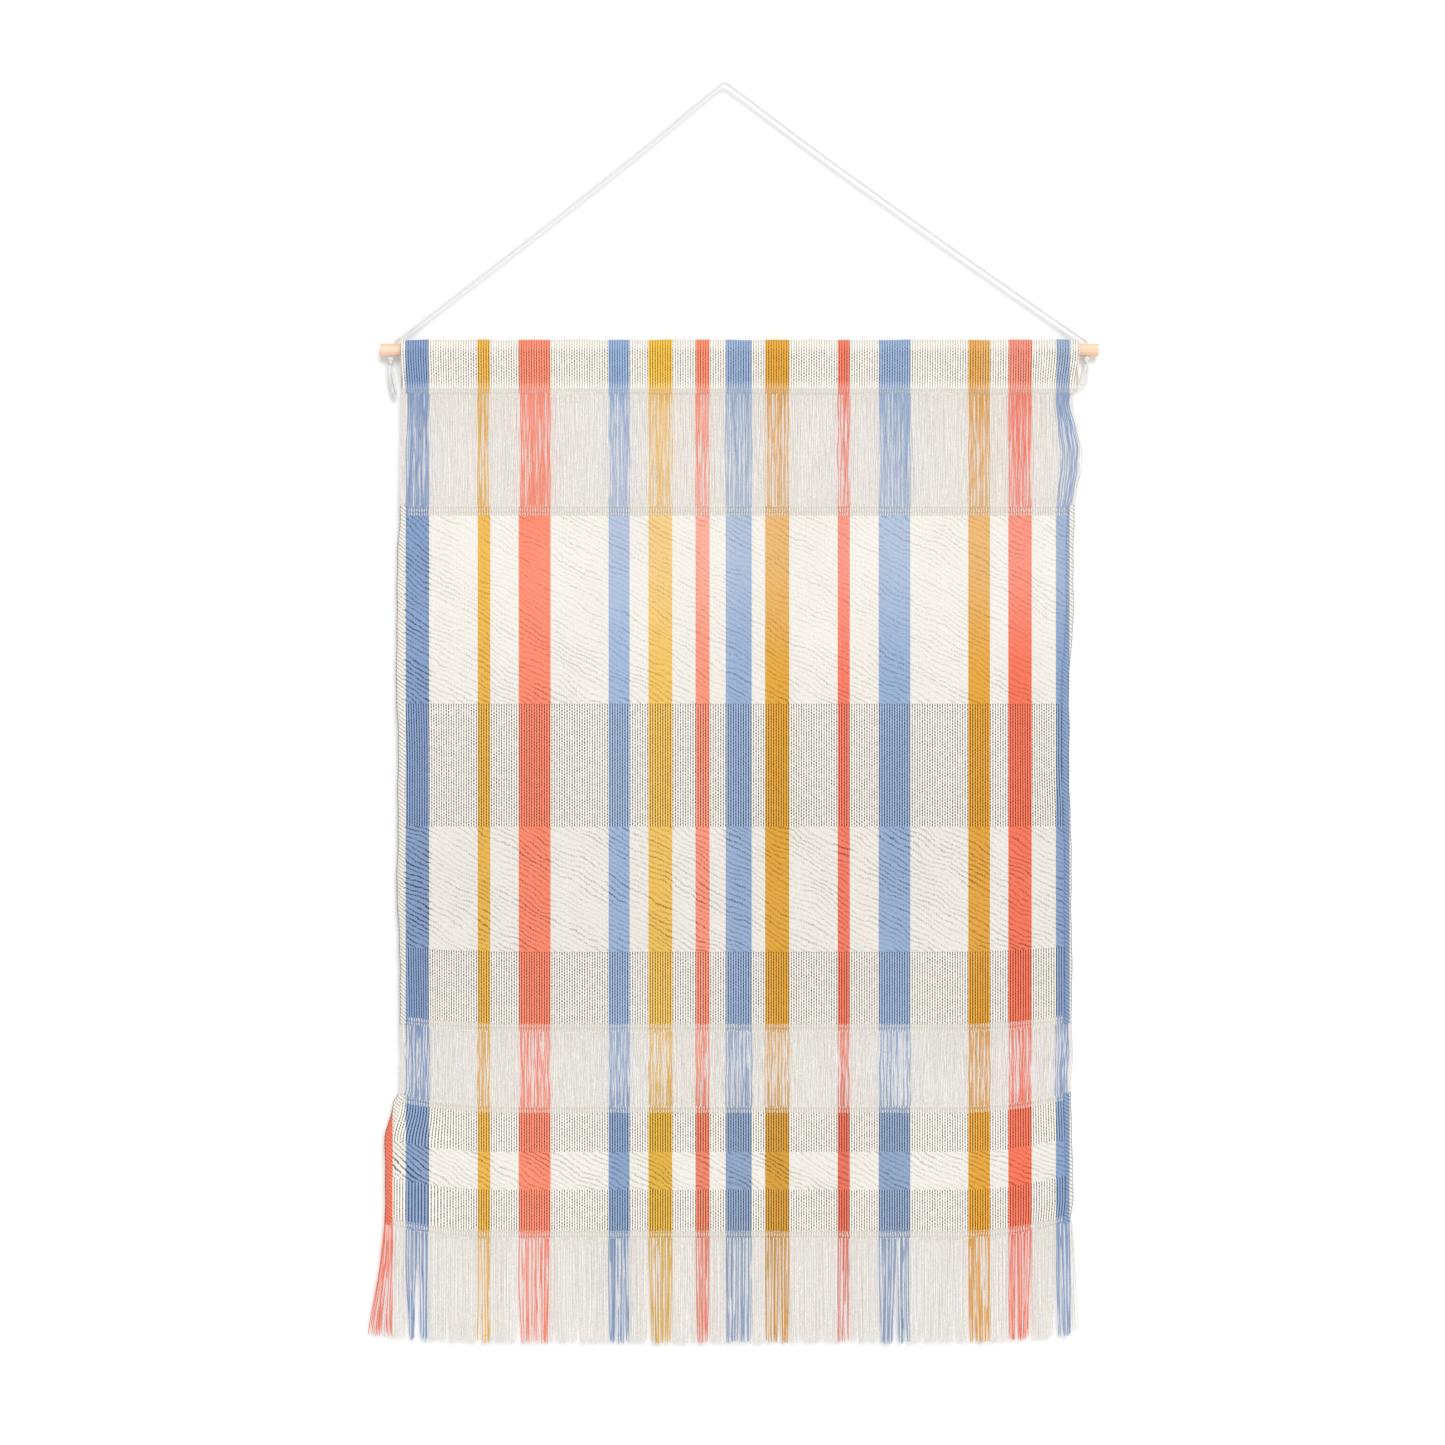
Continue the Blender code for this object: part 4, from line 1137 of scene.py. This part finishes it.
def makeEdge(name, node, side, top, bottom, body, shape):
    down = np.arange(top, bottom + shape["step"], shape["step"])
    down[-1] = bottom
    edge = edgeAt(outline[side], down)
    sign = 1.0 if side == "left" else -1.0
    middle = edge + sign * shape["width"] / 2
    turn = np.linspace(0, 2 * np.pi, shape["sides"] + 1)
    swell = 1 + shape["swell"] * np.sin(down[:, None] * 2 * np.pi / shape["pitch"] + turn[None, :] * sign)
    across = middle[:, None] + np.cos(turn)[None, :] * shape["width"] / 2 * swell
    across += (0.5 * np.sin(down * 0.045) + 0.3 * np.sin(down * 0.13))[:, None]
    y = clothY - shape["forward"] - np.sin(turn)[None, :] * shape["thick"] / 2 * swell
    y = y + waviness(across, down[:, None], bands["wave"], bands["seed"])
    grid = placedAt(across, y, lifted(down[:, None], across))
    rest = restFrom(across, down[:, None], -sign * np.cos(turn)[None, :])
    obj = clothFrom(name, grid[:, ::-1], rest[:, ::-1], edgeCloth)
    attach(obj, body)
    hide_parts(node)
    return obj


edgePieces = {"Middle": [], "Bottom": []}
for block, top, bottom in (("Middle", "header", "lowerWarp"), ("Bottom", "lowerHeader", "fringe")):
    for side in ("left", "right"):
        name, node = f"{side}Selvedge{block}", f"{side}_selvedge_{block.lower()}"
        body = block.lower() + "_panel"
        edgePieces[block].append(makeEdge(name, node, side, depths[top], depths[bottom], body, edgeShape))
print("overcast edges made")


# a value for each strand, spread evenly so that neighbours differ
def evenlyMixed(count, dice):
    return (np.arange(count)[:, None] * 0.6180339 + dice.uniform(0, 0.22, (count, 1))) % 1.0


# open warp: loose yarns between two woven blocks

warpShape = {
    "pitch": 1.49, "radius": 0.66, "ringStep": 8.0, "sway": 0.75, "swing": 0.55, "left": -384.0, "right": 412.0,
    "edgeReach": 40.0, "tuck": 1.5, "bend": 0.8,
}


def makeWarp(name, nodes, top, bottom, shape, seed):
    dice = np.random.default_rng(seed)
    low, high = shape["left"], shape["right"]
    nominal = np.arange(low, high, shape["pitch"])
    count = len(nominal)
    rings = round((bottom - top) / shape["ringStep"]) + 3
    down = np.linspace(top - shape["tuck"], bottom + shape["tuck"], rings)
    left, right = edgeAt(outline["left"], down), edgeAt(outline["right"], down)
    x = columnsAt(nominal, left, right, low, high, shape["edgeReach"]).T
    share = np.linspace(0, 1, rings)[None, :]
    loose = np.sin(np.pi * share) ** 0.7
    phase, rate = dice.uniform(0, 6.28, (count, 1)), dice.uniform(1.5, 4.5, (count, 1))
    x = x + shape["sway"] * loose * (np.sin(rate * share * 3.1 + phase) + dice.uniform(-0.6, 0.6, (count, 1)))
    y = clothY + shape["swing"] * loose * np.sin(phase * 3 + share * rate * 2.2) + dice.uniform(-0.35, 0.35, (count, 1))
    y = y + waviness(nominal[:, None], down[None, :], bands["wave"], bands["seed"])
    # above the lifted corners this gives the plain depth
    paths = placedAt(x, y, lifted(down[None, :], nominal[:, None]))
    radii = shape["radius"] * mm * dice.uniform(0.85, 1.15, (count, 1)) * np.ones((1, rings))
    rest = restFrom(nominal[:, None], down[None, :], evenlyMixed(count, dice))
    obj = strandsFrom(name, paths, radii, rest, looseYarn)
    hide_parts(*nodes)
    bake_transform(obj)
    return obj


upperWarp = makeWarp(
    "upperOpenWarp", ("upper_warp_top", "upper_warp_bottom"), depths["upperWarp"], depths["header"],
    warpShape, 21,
)
lowerWarp = makeWarp(
    "lowerOpenWarp", ("lower_warp_top", "lower_warp_bottom"), depths["lowerWarp"], depths["lowerHeader"],
    warpShape, 22,
)
print("open warp made")


# fringe: the loose ends of the warp, gathered into bundles that part lower down

fringeShape = {
    "start": -402.2, "stop": 411.5, "pitch": 1.49, "radius": 0.76, "rings": 15, "tuck": 1.5, "raggedEnd": 0.965,
    "bundle": 9.0, "gather": 0.30, "creamGather": 0.12, "spread": 1.6, "stray": 0.45,
    # groups that differ from the rest, by their number from the left
    "crowded": {1: 2.2}, "parted": {3: 0.55}, "partedGather": 0.5, "shifts": {2: -1.0, 27: 1.5},
    "leftFlare": 24.0, "leftBow": 1.5, "leftShift": 2.4, "rightFlare": 9.0,
}


def makeFringe(node, number, colour, start, stop, shape):
    dice = np.random.default_rng(100 + number)
    width = stop - start
    count = max(4, round(width / shape["pitch"] * shape["crowded"].get(number, 1.0)))
    rings = shape["rings"]
    nominal = start + (np.arange(count) + 0.5) * width / count
    top, bottom = depths["fringe"] - shape["tuck"], depths["end"] - dice.uniform(0.0, 2.0)
    share = np.linspace(0, 1, rings)[None, :]
    bundles = max(1, round(width / shape["bundle"] * dice.uniform(0.8, 1.15)))
    cuts = np.sort(dice.uniform(start, stop, bundles - 1)) if bundles > 1 else np.array([])
    if number in shape["parted"]:
        bundles, cuts = 2, np.array([start + shape["parted"][number] * width])
    which = np.searchsorted(cuts, nominal)
    centres = np.array([nominal[which == k].mean() if np.any(which == k) else start for k in range(bundles)])
    gather = shape["creamGather"] if colour == "cream" else shape["gather"]
    if number in shape["parted"]:
        gather = shape["partedGather"]
    pull = gather * eased((share - 0.05) / 0.9) * dice.uniform(0.5, 1.3, bundles)[which][:, None]
    x = nominal[:, None] + (centres[which] - nominal)[:, None] * pull
    x = x + dice.uniform(-shape["spread"], shape["spread"], bundles)[which][:, None] * share**1.6
    x = x + dice.normal(0, shape["stray"], (count, 1)) * np.sin(np.pi * np.clip(share * 1.2, 0, 1)) * 1.2
    x = x + 0.35 * np.sin(share * 7 + dice.uniform(0, 6.28, (count, 1))) * share
    if number == 1:
        x = x - shape["leftFlare"] * share**1.2 * ((stop - nominal) / width)[:, None]
        x = x + shape["leftBow"] * np.sin(share * 6.0) * share + shape["leftShift"] * share
    if number == 28:
        x = x + shape["rightFlare"] * share * ((nominal - start) / width)[:, None]
    x = x + shape["shifts"].get(number, 0.0) * share
    y = clothY + dice.uniform(-0.7, 0.7, (count, 1))
    y = y + share * np.sin(dice.uniform(0, 6.28, bundles)[which][:, None] + share * 2)
    down = top + (bottom - top) * share * dice.uniform(shape["raggedEnd"], 1.0, (count, 1))
    rise = depths["fringe"] - lifted(depths["fringe"], nominal[:, None])
    depth = down - rise * (1 - (down - depths["fringe"]) / (depths["end"] - depths["fringe"]) / 2)
    paths = placedAt(x, y, depth)
    taper = np.where(np.linspace(0, 1, rings) > 0.97, 0.55, 1.0)[None, :]
    radii = shape["radius"] * mm * dice.uniform(0.85, 1.1, (count, 1)) * taper
    rest = restFrom(nominal[:, None], down, evenlyMixed(count, dice))
    obj = strandsFrom(f"fringe{number:02d}{colour.capitalize()}", paths, radii, rest, looseYarn)
    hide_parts(node)
    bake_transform(obj)
    return obj


# a group hangs from each dyed stripe and each stretch between them
borders = [edge for middle, width, dye in stripes["runs"] for edge in (middle - width / 2, middle + width / 2)]
borders = [fringeShape["start"], *borders[1:], fringeShape["stop"]]
for number, (start, stop) in enumerate(zip(borders, borders[1:]), 1):
    node = next(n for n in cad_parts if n.startswith(f"fringe_{number:02d}_"))
    makeFringe(node, number, node.split("_")[2], start, stop, fringeShape)
print("fringe made")


# each woven band is as wide as the cloth between its bound edges; this loop passes over the lock rows and the lower
# header row and does nothing with the rest

for name, node, top, bottom, kind, body in bandTable:
    if name in ("middleLockRow", "lowerHeaderRow", "hemLockRow"):
        continue


# wall, floor and light

stageLook = {
    "wallY": 0.0135, "wallTop": 1.4, "floorZ": -1.95, "size": 3.2,
    "wallShade": 0.965, "floorShade": 0.93, "world": 0.56,
    # power, angle in degrees, and the way that the light shines
    "lights": {
        "keyLight": (1.62, 26.0, (-0.16, 1.0, -0.52)),
        "fillLight": (0.42, 50.0, (-0.85, 1.0, -0.1)),
        "backLight": (1.1, 60.0, (-0.4, -1.0, -0.5)),
    },
}


# a one-sided plane is clear from behind, so that the back can be seen through the wall
def stagePlane(name, corners, shade, oneSided):
    mesh = bpy.data.meshes.new(name)
    mesh.from_pydata(corners, [], [(0, 1, 2, 3)])
    obj = bpy.data.objects.new(name, mesh)
    bpy.context.scene.collection.objects.link(obj)
    made = bpy.data.materials.new(name + "Paint")
    made.use_nodes = True
    tree = made.node_tree
    shader = tree.nodes["Principled BSDF"]
    shader.inputs["Roughness"].default_value = 0.9
    shader.inputs["Specular IOR Level"].default_value = 0.0
    spot = addNode(tree, "ShaderNodeTexCoord")
    grain = noiseAt(tree, spot.outputs["Object"], 60.0, 2.0)
    tone = between(tree, grain, 0.3, 0.7, shade * 0.995, shade)
    feed(tree, shader.inputs["Base Color"], combine(tree, tone, tone, tone))
    if oneSided:
        clear = addNode(tree, "ShaderNodeBsdfTransparent")
        facing = addNode(tree, "ShaderNodeNewGeometry")
        mixed = addNode(tree, "ShaderNodeMixShader")
        feed(tree, mixed.inputs[0], facing.outputs["Backfacing"])
        feed(tree, mixed.inputs[1], shader.outputs[0])
        feed(tree, mixed.inputs[2], clear.outputs[0])
        feed(tree, tree.nodes["Material Output"].inputs["Surface"], mixed.outputs[0])
    mesh.materials.append(made)
    return obj


def makeStage(look):
    size, wallY, floorZ, wallTop = (look[k] for k in ("size", "wallY", "floorZ", "wallTop"))
    corners = [(-size, wallY, floorZ), (size, wallY, floorZ), (size, wallY, wallTop), (-size, wallY, wallTop)]
    wall = stagePlane("paleWall", corners, look["wallShade"], True)
    wall.visible_diffuse = wall.visible_glossy = wall.visible_transmission = wall.visible_shadow = False
    corners = [(-size, -size, floorZ), (size, -size, floorZ), (size, size, floorZ), (-size, size, floorZ)]
    stagePlane("paleFloor", corners, look["floorShade"], False)
    world = bpy.data.worlds.new("studio")
    bpy.context.scene.world = world
    world.use_nodes = True
    tree = world.node_tree
    back = tree.nodes["Background"]
    back.inputs["Color"].default_value = (1.0, 1.0, 1.0, 1.0)
    rays = addNode(tree, "ShaderNodeLightPath")
    feed(tree, back.inputs["Strength"], between(tree, rays.outputs["Is Camera Ray"], 0.0, 1.0, look["world"], 1.0))
    for name, (power, angle, direction) in look["lights"].items():
        data = bpy.data.lights.new(name, "SUN")
        data.energy = power
        data.angle = math.radians(angle)
        lamp = bpy.data.objects.new(name, data)
        lamp.rotation_euler = Vector(direction).to_track_quat("-Z", "Y").to_euler()
        bpy.context.scene.collection.objects.link(lamp)
    bpy.context.scene.view_settings.view_transform = "Standard"


makeStage(stageLook)
print("stage made")
